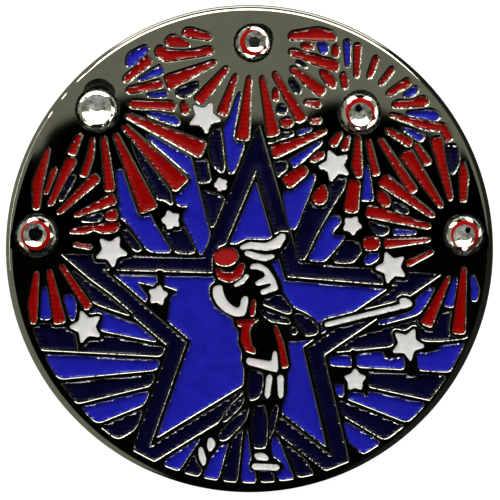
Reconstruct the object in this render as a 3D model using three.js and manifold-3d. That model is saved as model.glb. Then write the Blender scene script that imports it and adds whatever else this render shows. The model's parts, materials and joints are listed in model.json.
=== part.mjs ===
// Golf ball marker: a struck coin whose sunk cells are filled with soft enamel, with five stones
// set in its face. Millimetres; +Z is out of the face and +Y is the top of the artwork. The origin
// is the centre of the back.
import * as THREE from 'three';
import { mergeVertices } from 'three/addons/utils/BufferGeometryUtils.js';
import { ConvexGeometry } from 'three/addons/geometries/ConvexGeometry.js';
import Module from 'manifold-3d';

const wasm = await Module();
wasm.setup();

// ---- driving dimensions ----
const COIN_RADIUS = 12.7;
const THICKNESS = 1.8;
const FACE_ROUND = 0.42; // rounding of the edge where it meets the face
const BACK_ROUND = 0.2;
const RIM_SIDES = 72;
const FIELD = { x: 0.12, y: -0.08, radius: 12.07 }; // the sun rays stop at this circle
const LINE = 0.18; // raised metal line between two cells
const POCKET = 0.45; // depth of a cell whose enamel is its own piece
const SMALLEST_CELL = 0.06; // square millimetres: anything less is left as metal
// How far each colour's enamel lies below the raised lines.
const SUNK = { white: 0.07, red: 0.16, blue: 0.2, navy: 0.24 };
const COLOURS = {
  white: 0xd9d7dc, red: 0xa8100a, blue: 0x1a1d9c, navy: 0x05051e, metal: 0x3b3c38, stone: 0xe8ece8,
  glue: 0xd8d4c8,
};

// Stones: heights and the small facets follow from the radius at the girdle.
const STONE_SIDES = 12;
const TABLE_PART = 0.67; // table radius as a part of the girdle radius
const CROWN_PART = 0.4;
const GIRDLE_PART = 0.06;
const PAVILION_PART = 0.8;
const SEAT_GAP = 0.09; // between a stone and the wall of its seat
const SEAT_DEPTH = 1.0;
const SEAT_ENAMEL = 0.1;
const SEAT_SIDES = 24;
// A seat whose punch slipped has a shallow crescent beside it; slip is how far, and which way.
const SLIP_PART = 0.89;
const SLIP_DEPTH = 0.3;
const STONES = {
  left: { x: -11.05, y: 0.69, radius: 1.06 },
  upper_left: { x: -7.9, y: 7.22, radius: 1.08, slip: [0.09, 0.68] },
  top: { x: 0.18, y: 10.68, radius: 0.93, slip: [0.26, 0.2] },
  upper_right: { x: 5.73, y: 7.05, radius: 1.05, slip: [0.05, 0.27] },
  right: { x: 11.15, y: 0.74, radius: 1.0 },
};

const ABOVE = THICKNESS + 1; // cutters reach clear of the face
const BELOW = -1;
const SAME_POINT = 1e-4; // points nearer than this are one point
const radians = THREE.MathUtils.degToRad;

// ---- solids ----
function solid(geometry) {
  const plain = geometry.clone();
  for (const name of Object.keys(plain.attributes)) {
    if (name !== 'position') plain.deleteAttribute(name);
  }
  const merged = mergeVertices(plain, SAME_POINT);
  const vertProperties = new Float32Array(merged.attributes.position.array);
  const triVerts = new Uint32Array(merged.index.array);
  return new wasm.Manifold(new wasm.Mesh({ numProp: 3, vertProperties, triVerts }));
}

function geometryOf(points, triangles) {
  const geometry = new THREE.BufferGeometry();
  geometry.setAttribute('position', new THREE.Float32BufferAttribute(points, 3));
  geometry.setIndex(triangles);
  geometry.computeVertexNormals();
  return geometry;
}

function shell(manifold) {
  const mesh = manifold.getMesh();
  return geometryOf(Array.from(mesh.vertProperties), Array.from(mesh.triVerts));
}

function volumeOf(points, triangles) {
  const [a, b, c] = [new THREE.Vector3(), new THREE.Vector3(), new THREE.Vector3()];
  let total = 0;
  for (let i = 0; i < triangles.length; i += 3) {
    a.fromArray(points, 3 * triangles[i]);
    b.fromArray(points, 3 * triangles[i + 1]);
    c.fromArray(points, 3 * triangles[i + 2]);
    total += a.dot(b.cross(c)) / 6;
  }
  return total;
}

// The separate bodies of a solid, largest first, as geometries.
function bodiesOf(manifold) {
  const mesh = manifold.getMesh();
  const owner = Array.from({ length: mesh.vertProperties.length / 3 }, (_, i) => i);
  const root = (i) => {
    while (owner[i] !== i) {
      owner[i] = owner[owner[i]];
      i = owner[i];
    }
    return i;
  };
  for (let t = 0; t < mesh.triVerts.length; t += 3) {
    const [a, b, c] = mesh.triVerts.subarray(t, t + 3);
    owner[root(b)] = root(a);
    owner[root(c)] = root(a);
  }
  const bodies = new Map();
  for (let t = 0; t < mesh.triVerts.length; t += 3) {
    const key = root(mesh.triVerts[t]);
    if (!bodies.has(key)) bodies.set(key, { points: [], triangles: [], places: new Map() });
    const body = bodies.get(key);
    for (const vertex of mesh.triVerts.subarray(t, t + 3)) {
      if (!body.places.has(vertex)) {
        body.places.set(vertex, body.points.length / 3);
        body.points.push(...mesh.vertProperties.subarray(3 * vertex, 3 * vertex + 3));
      }
      body.triangles.push(body.places.get(vertex));
    }
  }
  return [...bodies.values()]
    .map(({ points, triangles }) => ({ points, triangles, volume: volumeOf(points, triangles) }))
    .sort((one, other) => other.volume - one.volume);
}

// An upright block with the given outline.
function block(outline, bottom, top) {
  const geometry = new THREE.ExtrudeGeometry(new THREE.Shape(outline), {
    depth: top - bottom,
    bevelEnabled: false,
    curveSegments: 1,
  });
  geometry.translate(0, 0, bottom);
  return solid(geometry);
}

// ---- outlines: arrays of Vector2, anticlockwise ----
const at = (x, y) => new THREE.Vector2(x, y);
const polar = (radius, degrees) => at(1, 0).rotateAround(at(0, 0), radians(degrees)).setLength(radius);

function anticlockwise(points) {
  return THREE.ShapeUtils.isClockWise(points) ? points.slice().reverse() : points;
}

// A polygon with each corner cut off.
function rounded(corners, radius) {
  const ring = anticlockwise(corners);
  return ring.flatMap((corner, i) => {
    const before = ring[(i + ring.length - 1) % ring.length].clone().sub(corner);
    const after = ring[(i + 1) % ring.length].clone().sub(corner);
    const reach = Math.min(radius, 0.48 * before.length(), 0.48 * after.length());
    return [before, after].map((side) => side.setLength(reach).add(corner));
  });
}

const pane = (pairs, radius = 0.12) => rounded(pairs.map(([x, y]) => at(x, y)), radius);

// A tapered bar, bent at each station; a station is [x, y, width].
function bar(...stations) {
  const centres = stations.map(([x, y]) => at(x, y));
  const left = [];
  const right = [];
  stations.forEach(([, , width], i) => {
    const along = at(0, 0);
    if (i > 0) along.add(centres[i].clone().sub(centres[i - 1]).normalize());
    if (i < centres.length - 1) along.add(centres[i + 1].clone().sub(centres[i]).normalize());
    const side = at(-along.y, along.x).setLength(width / 2);
    left.push(centres[i].clone().add(side));
    right.push(centres[i].clone().sub(side));
  });
  const ends = [stations[0][2], stations[stations.length - 1][2]];
  return rounded([...right, ...left.reverse()], Math.min(0.14, 0.42 * Math.min(...ends)));
}

function oval(x, y, halfLong, halfShort, turn, sides = 12) {
  const ring = new THREE.EllipseCurve(x, y, halfLong, halfShort, 0, 2 * Math.PI, false, radians(turn));
  return ring.getPoints(sides).slice(0, sides);
}

const round = (x, y, radius, sides = SEAT_SIDES) => oval(x, y, radius, radius, 0, sides);

// The ten corners of a five-point star; the first, third and so on are its tips.
function starCorners(x, y, tipRadius, notchRadius, turn) {
  return Array.from({ length: 10 }, (_, i) => (
    polar(i % 2 ? notchRadius : tipRadius, turn + 36 * i).add(at(x, y))
  ));
}

function bluntStar(corners, blunt) {
  return corners.flatMap((corner, i) => {
    if (i % 2) return [corner];
    const before = corners[(i + 9) % 10].clone().sub(corner);
    const after = corners[i + 1].clone().sub(corner);
    return [before, after].map((side) => side.setLength(blunt).add(corner));
  });
}

// The outline moved outwards, for the metal line round a cell. A corner moves at most `reach` times
// as far as the sides do.
function grown(outline, distance, reach = 2) {
  const ring = anticlockwise(outline);
  return ring.map((corner, i) => {
    const before = corner.clone().sub(ring[(i + ring.length - 1) % ring.length]).normalize();
    const after = ring[(i + 1) % ring.length].clone().sub(corner).normalize();
    const along = before.add(after).normalize();
    const squareness = Math.max(1 / reach, along.dot(after));
    return corner.clone().add(at(along.y, -along.x).multiplyScalar(distance / squareness));
  });
}

// ---- artwork in front: each cell is [colour, outline], or [colour, outline, name] for one whose
// enamel is a piece of its own ----
const LARGE_NOTCH = 0.5; // notch radius as a part of the tip radius
const SMALL_NOTCH = 0.58;
const STAR_BLUNT = 0.12;
const stars = [
  ['upper_left', -2.34, 6.85, 0.94, LARGE_NOTCH, 62],
  ['upper_right', 4.42, 4.33, 0.94, LARGE_NOTCH, 39.5],
  ['middle_left', -7.18, -0.11, 0.95, LARGE_NOTCH, 61],
  ['middle_right', 7.37, -0.96, 0.94, LARGE_NOTCH, 39.5],
  ['lower_left', -8.48, -4.04, 0.96, LARGE_NOTCH, 36],
  ['lower_right', 8.21, -4.95, 0.97, LARGE_NOTCH, 65],
  ['small_upper', -1.49, 3.34, 0.45, SMALL_NOTCH, 36],
  ['small_left', -4.08, 1.5, 0.6, SMALL_NOTCH, 36],
  ['small_middle', -4.75, -2.41, 0.62, SMALL_NOTCH, 8],
  ['small_right', 5.33, 1.23, 0.6, SMALL_NOTCH, 62],
  ['small_lower', 5.49, -6.81, 0.67, SMALL_NOTCH, 18],
].map(([name, x, y, tip, notch, turn]) => (
  ['white', bluntStar(starCorners(x, y, tip, notch * tip, turn), STAR_BLUNT), `enamel_star_${name}`]
));

const topBurst = [
  ['red', pane([[-3.5, 11.15], [-3.4, 11.42], [-3.1, 11.5], [-2.0, 11.15], [-1.92, 10.95], [-2.05, 10.82],
    [-3.4, 11.03]])],
  ['red', pane([[-4.42, 10.66], [-4.3, 10.98], [-3.98, 11.15], [-3.55, 10.95], [-3.2, 10.82], [-3.02, 10.58],
    [-3.18, 10.48], [-4.1, 10.47]])],
  ['red', pane([[-4.92, 10.12], [-4.85, 10.45], [-4.6, 10.6], [-4.4, 10.42], [-3.9, 10.33], [-3.0, 10.32],
    [-2.05, 10.54], [-1.84, 10.36], [-1.9, 10.1], [-3.6, 9.85], [-4.4, 9.7]])],
  ['blue', pane([[-6.45, 9.6], [-6.3, 10.15], [-5.4, 10.62], [-5.15, 10.35], [-6.2, 9.35]])],
  ['red', bar([-6.52, 8.7, 0.32], [-5.16, 9.9, 0.56])],
  ['blue', bar([-5.76, 8.78, 0.24], [-4.5, 9.36, 0.5])],
  ['red', bar([-6.38, 8.2, 0.34], [-4.5, 8.6, 0.46])],
  ['blue', bar([-5.3, 7.98, 0.24], [-4.28, 8.06, 0.38])],
  ['red', bar([-1.75, 9.72, 0.22], [-4.3, 8.6, 0.8]), 'enamel_ray_top_1'],
  ['navy', pane([[-3.85, 8.15], [-3.7, 8.4], [-2.62, 8.7], [-2.55, 8.42], [-3.2, 7.88], [-3.7, 7.86]])],
  ['red', bar([-1.12, 9.44, 0.26], [-2.68, 7.62, 0.6])],
  ['red', bar([-0.7, 9.05, 0.2], [-1.42, 6.98, 0.52])],
  ['red', bar([0.0, 8.95, 0.2], [-0.36, 5.68, 0.66]), 'enamel_ray_top_2'],
  ['red', bar([0.65, 8.95, 0.24], [1.25, 5.88, 0.64]), 'enamel_ray_top_3'],
  ['red', bar([1.27, 9.16, 0.26], [2.76, 6.66, 0.58])],
  ['red', bar([1.38, 8.36, 0.26], [1.36, 7.7, 0.36])],
  ['navy', oval(1.68, 7.23, 0.3, 0.28, 0, 8)],
  ['red', oval(1.94, 6.57, 0.36, 0.25, 0, 8)],
  ['navy', bar([2.14, 8.84, 0.38], [2.6, 8.1, 0.42])],
  ['red', bar([2.15, 9.42, 0.34], [3.86, 8.08, 0.62])],
  ['red', bar([2.05, 10.28, 0.32], [4.62, 9.42, 0.62]), 'enamel_ray_top_4'],
  ['navy', pane([[2.4, 9.76], [2.6, 9.84], [2.95, 9.62], [3.02, 9.44], [2.9, 9.4], [2.45, 9.62]])],
  ['red', pane([[2.02, 10.85], [2.08, 11.25], [3.6, 11.5], [4.4, 11.28], [4.55, 10.8]])],
  ['red', pane([[2.62, 10.5], [2.75, 10.72], [3.25, 10.72], [3.38, 10.45], [3.25, 10.3], [2.9, 10.3]])],
  ['blue', pane([[3.48, 10.74], [4.02, 10.74], [4.12, 10.4], [4.0, 10.08], [3.74, 10.08]])],
];

const upperRightBurst = [
  ['red', bar([4.5, 10.6, 0.34], [4.48, 9.92, 0.32])],
  ['blue', bar([5.07, 10.85, 0.36], [5.12, 9.45, 0.22])],
  ['red', bar([5.62, 10.65, 0.38], [5.56, 8.88, 0.22])],
  ['red', bar([6.62, 10.0, 0.3], [6.2, 8.85, 0.24])],
  ['red', bar([7.48, 9.42, 0.28], [6.78, 8.5, 0.24])],
  ['red', bar([7.14, 8.0, 0.26], [8.34, 8.72, 0.46])],
  ['blue', pane([[7.95, 7.98], [8.6, 8.52], [8.82, 8.3], [8.6, 7.92], [8.1, 7.85]])],
  ['red', pane([[7.38, 7.46], [7.6, 7.7], [8.3, 7.74], [8.9, 7.92], [9.25, 7.88], [9.32, 7.6], [9.2, 7.4],
    [7.5, 7.32]])],
  ['blue', pane([[8.05, 7.1], [9.35, 7.27], [9.62, 7.2], [9.94, 6.95], [9.85, 6.7], [9.6, 6.62],
    [8.2, 6.92]])],
  ['red', bar([7.3, 6.98, 0.16], [9.2, 6.42, 0.46], [10.08, 6.3, 0.42], [10.4, 5.62, 0.4])],
  ['blue', bar([7.97, 6.32, 0.22], [9.02, 5.72, 0.46])],
  ['red', bar([7.1, 6.24, 0.24], [8.42, 5.45, 0.44])],
  ['red', bar([6.75, 5.75, 0.24], [8.55, 2.95, 0.48]), 'enamel_ray_right_1'],
  ['red', bar([6.15, 5.7, 0.2], [6.58, 3.82, 0.38])],
  ['red', bar([5.64, 5.95, 0.2], [5.6, 5.1, 0.36], [5.58, 4.3, 0.52], [5.72, 3.72, 0.3])],
  ['blue', bar([6.12, 4.35, 0.14], [6.12, 2.5, 0.62])],
  ['red', bar([5.48, 3.58, 0.56], [5.25, 1.9, 0.74]), 'enamel_ray_right_2'],
  ['red', bar([5.12, 5.88, 0.22], [4.9, 5.13, 0.34])],
  ['red', bar([4.75, 6.05, 0.26], [4.28, 5.38, 0.42])],
  ['red', bar([3.98, 6.15, 0.2], [1.18, 5.0, 0.68])],
  ['blue', bar([2.52, 6.02, 0.32], [3.22, 6.24, 0.2])],
  ['blue', bar([3.74, 5.58, 0.16], [2.18, 4.4, 0.54])],
  ['red', bar([3.18, 4.58, 0.3], [3.85, 4.98, 0.4])],
  ['red', bar([2.95, 4.18, 0.5], [1.85, 3.4, 0.76])],
  ['red', bar([4.86, 9.14, 0.36], [5.02, 8.3, 0.3])],
  ['red', pane([[3.62, 9.22], [3.76, 9.36], [4.2, 9.2], [4.48, 8.8], [4.5, 8.42], [4.35, 8.3], [3.9, 8.68]])],
  ['red', bar([3.7, 7.52, 0.42], [2.85, 7.62, 0.22])],
  ['red', bar([3.12, 6.66, 0.24], [3.72, 6.68, 0.34])],
];

const upperLeftBurst = [
  ['red', bar([-8.78, 6.0, 0.22], [-9.27, 4.9, 0.44])],
  ['red', bar([-8.14, 5.76, 0.16], [-8.28, 4.75, 0.32], [-8.63, 3.76, 0.38])],
  ['red', bar([-7.58, 5.84, 0.24], [-7.24, 3.0, 0.5]), 'enamel_ray_left_1'],
  ['red', bar([-6.98, 5.98, 0.22], [-5.2, 2.0, 0.94]), 'enamel_ray_left_2'],
  ['navy', pane([[-6.2, 5.7], [-5.05, 4.2], [-4.1, 2.95], [-3.98, 2.22], [-4.4, 2.55], [-4.8, 2.55],
    [-5.75, 4.6]])],
  ['red', bar([-6.55, 6.42, 0.26], [-3.5, 3.28, 0.98]), 'enamel_ray_left_3'],
  ['red', bar([-6.42, 6.98, 0.26], [-2.4, 5.12, 0.88]), 'enamel_ray_left_4'],
  ['blue', pane([[-5.4, 6.98], [-5.0, 7.18], [-3.9, 6.95], [-3.62, 6.65], [-3.7, 6.36]])],
  ['red', bar([-6.25, 7.55, 0.42], [-3.85, 7.4, 0.5])],
  ['red', bar([-3.46, 7.64, 0.34], [-3.26, 7.0, 0.42])],
];

const leftBurst = [
  ['red', bar([-11.08, 2.05, 0.32], [-11.0, 3.45, 0.54], [-10.45, 5.22, 0.2])],
  ['red', bar([-10.6, 2.85, 0.22], [-10.1, 4.22, 0.28])],
  ['red', bar([-10.4, 2.25, 0.28], [-9.2, 4.72, 0.56])],
  ['navy', bar([-9.82, 2.5, 0.22], [-9.14, 3.84, 0.34])],
  ['red', bar([-9.96, 1.83, 0.24], [-7.9, 3.78, 0.54])],
  ['red', bar([-9.08, 1.72, 0.2], [-7.0, 2.64, 0.62])],
  ['navy', pane([[-8.8, 1.4], [-7.85, 1.38], [-7.6, 1.6], [-7.62, 1.9], [-8.3, 1.78]])],
  ['red', pane([[-7.52, 1.9], [-7.0, 2.15], [-6.85, 1.85], [-6.86, 1.55], [-7.05, 1.44], [-7.5, 1.5]])],
  ['red', pane([[-9.42, 0.8], [-9.2, 1.08], [-7.0, 1.42], [-6.68, 1.3], [-6.95, 0.85], [-7.7, 0.8],
    [-8.1, 1.02], [-8.4, 0.8]])],
  ['red', bar([-9.18, 0.26, 0.24], [-8.18, 0.08, 0.26])],
  ['red', bar([-9.82, -0.8, 0.24], [-8.32, -3.1, 0.46])],
  ['red', bar([-10.42, -1.05, 0.26], [-9.84, -3.88, 0.64]), 'enamel_ray_left_5'],
  ['red', bar([-11.05, -1.15, 0.24], [-11.25, -2.9, 0.52], [-11.22, -3.9, 0.3])],
  ['blue', bar([-10.64, -1.95, 0.26], [-10.58, -3.68, 0.62])],
  ['blue', pane([[-9.7, -2.45], [-9.4, -2.3], [-9.05, -2.55], [-8.98, -3.0], [-9.05, -3.7], [-9.3, -3.75]])],
  ['navy', pane([[-9.3, -1.05], [-7.3, -2.5], [-6.15, -3.5], [-7.3, -3.12], [-8.1, -2.82], [-8.35, -2.35]])],
];

const rightBurst = [
  ['red', bar([9.42, 1.14, 0.28], [6.1, 2.02, 0.7]), 'enamel_ray_right_3'],
  ['red', bar([9.6, 1.68, 0.26], [6.85, 3.65, 0.68]), 'enamel_ray_right_4'],
  ['red', bar([10.0, 2.15, 0.3], [8.08, 5.05, 0.7]), 'enamel_ray_right_5'],
  ['red', bar([10.46, 2.52, 0.24], [9.68, 5.8, 0.6])],
  ['red', bar([11.1, 2.45, 0.32], [11.14, 3.8, 0.46], [11.08, 4.52, 0.16])],
  ['red', bar([8.58, 5.5, 0.24], [9.3, 4.4, 0.44])],
  ['navy', pane([[10.14, 5.36], [10.4, 5.46], [10.86, 5.36], [10.92, 4.4], [10.58, 3.82], [10.36, 3.95],
    [10.2, 4.7]])],
  ['red', pane([[6.78, 3.15], [6.62, 2.7], [6.78, 2.3], [7.1, 2.12], [7.35, 2.3], [7.32, 2.6],
    [7.05, 2.95]])],
  ['navy', pane([[7.42, 2.5], [7.95, 2.3], [8.32, 1.95], [8.2, 1.76], [7.7, 1.9], [7.42, 2.12]])],
  ['navy', pane([[6.15, 1.48], [7.0, 1.25], [7.32, 1.05], [7.15, 0.75], [6.8, 0.66], [6.5, 0.74]])],
  ['blue', bar([7.46, 0.88, 0.38], [8.66, 0.85, 0.26])],
  ['red', bar([9.4, 0.5, 0.24], [7.0, 0.28, 0.54])],
  ['red', pane([[5.86, 0.45], [6.15, 0.68], [6.6, 0.65], [6.8, 0.4], [6.7, 0.0], [6.45, -0.12],
    [5.95, -0.05]])],
  ['blue', pane([[5.9, -0.6], [6.15, -0.25], [6.6, -0.15], [6.78, -0.38], [6.6, -0.65], [6.1, -0.88]])],
  ['red', bar([9.55, -0.12, 0.22], [8.15, -0.8, 0.38])],
  ['red', bar([10.38, -1.4, 0.22], [9.15, -3.98, 0.66]), 'enamel_ray_right_6'],
  ['blue', bar([10.73, -1.48, 0.2], [10.33, -3.02, 0.52])],
  ['red', bar([11.15, -0.93, 0.26], [10.86, -4.42, 0.7]), 'enamel_ray_right_7'],
  ['blue', bar([11.56, -1.32, 0.2], [11.75, -2.15, 0.44], [11.65, -2.72, 0.32])],
];

// The golfer. The head is a plain oval under the cap, seen from the side and bowed: the jaw is an
// arc about the same centre as the brim of the cap.
const HEAD = [-1.1, -0.8];
const onHead = (radius, degrees, width) => {
  const place = polar(radius, degrees).add(at(...HEAD));
  return [place.x, place.y, width];
};
const cap = [
  ['red', oval(-1.23, -0.4, 0.66, 0.5, 8, 14), 'enamel_cap_crown'],
  ['red', bar(onHead(0.66, 198, 0.2), onHead(0.68, 235, 0.46), onHead(0.7, 275, 0.56),
    onHead(0.72, 315, 0.5), onHead(0.74, 5, 0.3)), 'enamel_cap_brim'],
];
const jaw = [['white', bar(onHead(1.16, 285, 0.2), onHead(1.16, 308, 0.24), onHead(1.16, 333, 0.22))]];
const hair = [
  ['white', bar([-0.5, 0.03, 0.2], [0.0, 0.18, 0.36], [0.9, 0.1, 0.38], [1.45, 0.3, 0.56],
    [1.82, 0.76, 0.28]),
    'enamel_hair'],
  ['white', bar([-0.25, -0.18, 0.26], [0.35, -0.38, 0.32], [0.8, -0.48, 0.34], [1.3, -0.36, 0.18])],
];
const sleeves = [
  ['white', pane([[0.0, -0.95], [0.12, -0.78], [0.5, -0.74], [0.95, -1.0], [1.3, -1.5], [1.5, -2.05],
    [1.42, -2.14], [0.65, -2.4], [0.52, -2.2], [1.12, -1.92], [1.12, -1.76], [0.4, -1.92], [0.25, -1.76],
    [0.84, -1.42], [0.7, -1.16], [0.4, -1.04], [0.05, -1.04]], 0.07), 'enamel_sleeve_right'],
  ['white', pane([[-1.88, -1.95], [-1.42, -1.85], [-1.38, -2.2], [-1.18, -2.7], [-0.85, -3.0], [-0.52, -3.1],
    [-0.4, -2.5], [-0.12, -2.42], [-0.04, -2.6], [-0.2, -3.45], [-0.7, -3.52], [-1.22, -3.32], [-1.68, -2.92],
    [-1.93, -2.4]], 0.1), 'enamel_sleeve_left'],
];
const clothes = [
  ['red', bar([0.22, -2.62, 0.22], [0.12, -3.5, 0.28])],
  ['red', pane([[-0.7, -3.68], [0.52, -3.64], [0.1, -3.98], [0.0, -4.3], [0.1, -5.02], [0.34, -5.3],
    [0.28, -5.48], [-0.2, -5.3], [-0.46, -4.8], [-0.42, -4.2], [-0.34, -4.04], [-0.62, -4.0]], 0.07),
    'enamel_waistcoat'],
  ['red', bar([1.32, -3.97, 0.18], [1.62, -4.9, 0.28], [1.86, -6.18, 0.38])],
  ['white', pane([[-0.2, -5.85], [-0.1, -5.65], [1.14, -5.84], [1.2, -5.42], [1.32, -5.26], [1.44, -5.42],
    [1.5, -6.25], [1.4, -6.4], [-0.1, -6.0]], 0.06), 'enamel_belt'],
  ['white', bar([1.06, -6.52, 0.32], [0.9, -7.76, 0.28])],
  ['white', bar([1.6, -6.54, 0.36], [1.63, -7.76, 0.28])],
];
const limbs = [
  ['navy', pane([[0.6, -2.85], [0.85, -2.58], [1.6, -2.32], [2.25, -3.15], [2.08, -3.44], [1.0, -3.02]])],
  ['navy', pane([[0.55, -3.25], [0.8, -3.16], [2.02, -3.62], [2.14, -3.92], [1.15, -3.8],
    [0.75, -3.5]], 0.08)],
  ['navy', pane([[2.3, -3.35], [2.55, -3.28], [3.3, -3.72], [3.62, -4.1], [3.5, -4.45], [2.95, -4.56],
    [2.7, -4.2], [2.42, -3.85]], 0.08)],
  ['navy', pane([[2.14, -4.08], [2.38, -4.05], [2.5, -4.35], [2.34, -4.48], [2.14, -4.36]], 0.05)],
  ['navy', pane([[0.02, -6.2], [0.7, -6.42], [0.7, -7.2], [0.5, -7.75], [0.0, -7.92], [-0.1, -7.2]])],
  ['navy', pane([[-0.22, -7.64], [-0.42, -8.2], [-1.25, -9.0], [-1.42, -8.96], [-1.2, -8.5], [-0.75, -8.0]])],
  ['navy', pane([[0.0, -8.2], [-0.2, -8.95], [-1.15, -9.92], [-1.55, -10.0], [-1.62, -9.6], [-0.75, -8.7]])],
  ['navy', pane([[0.25, -8.2], [0.75, -8.05], [0.95, -8.9], [0.88, -10.35], [0.22, -10.38], [0.08, -9.3]])],
  ['navy', pane([[1.5, -8.25], [1.38, -8.05], [1.1, -8.6], [1.05, -9.9], [1.3, -9.3]], 0.06)],
];
const shoes = [
  ['white', pane([[-2.2, -9.95], [-2.05, -9.75], [-1.86, -9.88], [-1.72, -10.15], [-2.0, -10.56],
    [-2.2, -10.45]])],
  ['white', pane([[-2.64, -10.3], [-2.45, -10.26], [-2.2, -11.0], [-2.35, -11.3], [-2.5, -11.18],
    [-2.66, -10.8]])],
  ['white', pane([[0.24, -10.62], [0.7, -10.58], [1.02, -10.84], [0.98, -11.0], [0.4, -10.96],
    [0.25, -10.82]], 0.08)],
  ['white', bar([0.1, -11.3, 0.32], [1.58, -11.37, 0.32])],
];
const club = [
  ['white', pane([[3.88, -3.98], [3.92, -3.82], [7.86, -2.86], [7.74, -2.68], [7.92, -2.54], [8.22, -2.58],
    [8.46, -2.8], [8.46, -2.94], [8.22, -3.03], [4.0, -4.06]], 0.06), 'enamel_club'],
];
// Metal between the golfer's cells: the whole figure stands clear of the background.
const figure = pane([[-1.95, -0.45], [-1.6, 0.12], [-1.1, 0.28], [-0.7, 0.25], [-0.2, 0.5], [1.0, 0.5],
  [1.55, 0.92], [2.05, 0.92], [2.12, 0.35], [1.7, -0.1], [1.5, -0.5], [1.15, -0.75], [1.66, -1.7],
  [1.76, -2.2], [2.12, -2.85], [2.4, -3.08], [3.05, -3.38], [3.7, -3.92], [3.74, -4.6], [2.9, -4.75],
  [2.0, -4.8], [2.1, -5.6], [2.2, -6.15], [1.98, -6.4], [1.98, -7.4], [1.76, -8.1], [1.66, -8.5],
  [1.3, -9.55], [1.05, -10.4], [1.2, -10.75], [1.75, -11.15], [1.8, -11.45], [1.5, -11.58], [0.05, -11.52],
  [-0.06, -11.2], [0.08, -10.9], [0.0, -10.4], [-0.1, -9.4], [-0.35, -9.35], [-1.1, -10.1], [-1.5, -10.2],
  [-1.9, -10.72], [-2.1, -10.8], [-2.15, -11.3], [-2.4, -11.48], [-2.62, -11.3], [-2.84, -10.8],
  [-2.82, -10.2], [-2.45, -10.06], [-2.3, -9.66], [-2.0, -9.54], [-1.8, -9.7], [-1.75, -9.2], [-0.95, -8.1],
  [-0.36, -7.5], [-0.3, -6.2], [-0.46, -5.85], [-0.4, -5.4], [-0.62, -4.9], [-0.58, -4.3], [-0.84, -4.0],
  [-0.88, -3.6], [-1.1, -3.48], [-1.8, -3.02], [-2.1, -2.4], [-2.1, -1.95], [-1.78, -1.66],
  [-1.95, -1.2]], 0.05);

const front = [
  ...stars, ...topBurst, ...upperRightBurst, ...upperLeftBurst, ...leftBurst, ...rightBurst,
  ...cap, ...jaw, ...hair, ...sleeves, ...clothes, ...limbs, ...shoes, ...club,
].map(([colour, outline, name]) => ({ colour, outline, name }));
const clearing = [...stars, ...topBurst, ...upperRightBurst, ...upperLeftBurst, ...leftBurst,
  ...rightBurst, ...club].map(([, outline]) => grown(outline, LINE));

// ---- artwork behind: panes of sky, the large star and its border, the sun rays ----
const bigStar = starCorners(-0.09, -4.0, 7.5, 3.05, 14.9);
const BIG_STAR_BLUNT = 0.06;
const BORDER_GAP = 0.2;
const BORDER_WIDTH = 0.98; // from the star's edge to the border's outer edge
const SUN = at(0.1, -5.93); // the sun rays open from here
const aroundStar = (distance) => grown(bigStar, distance, Infinity);

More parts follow.
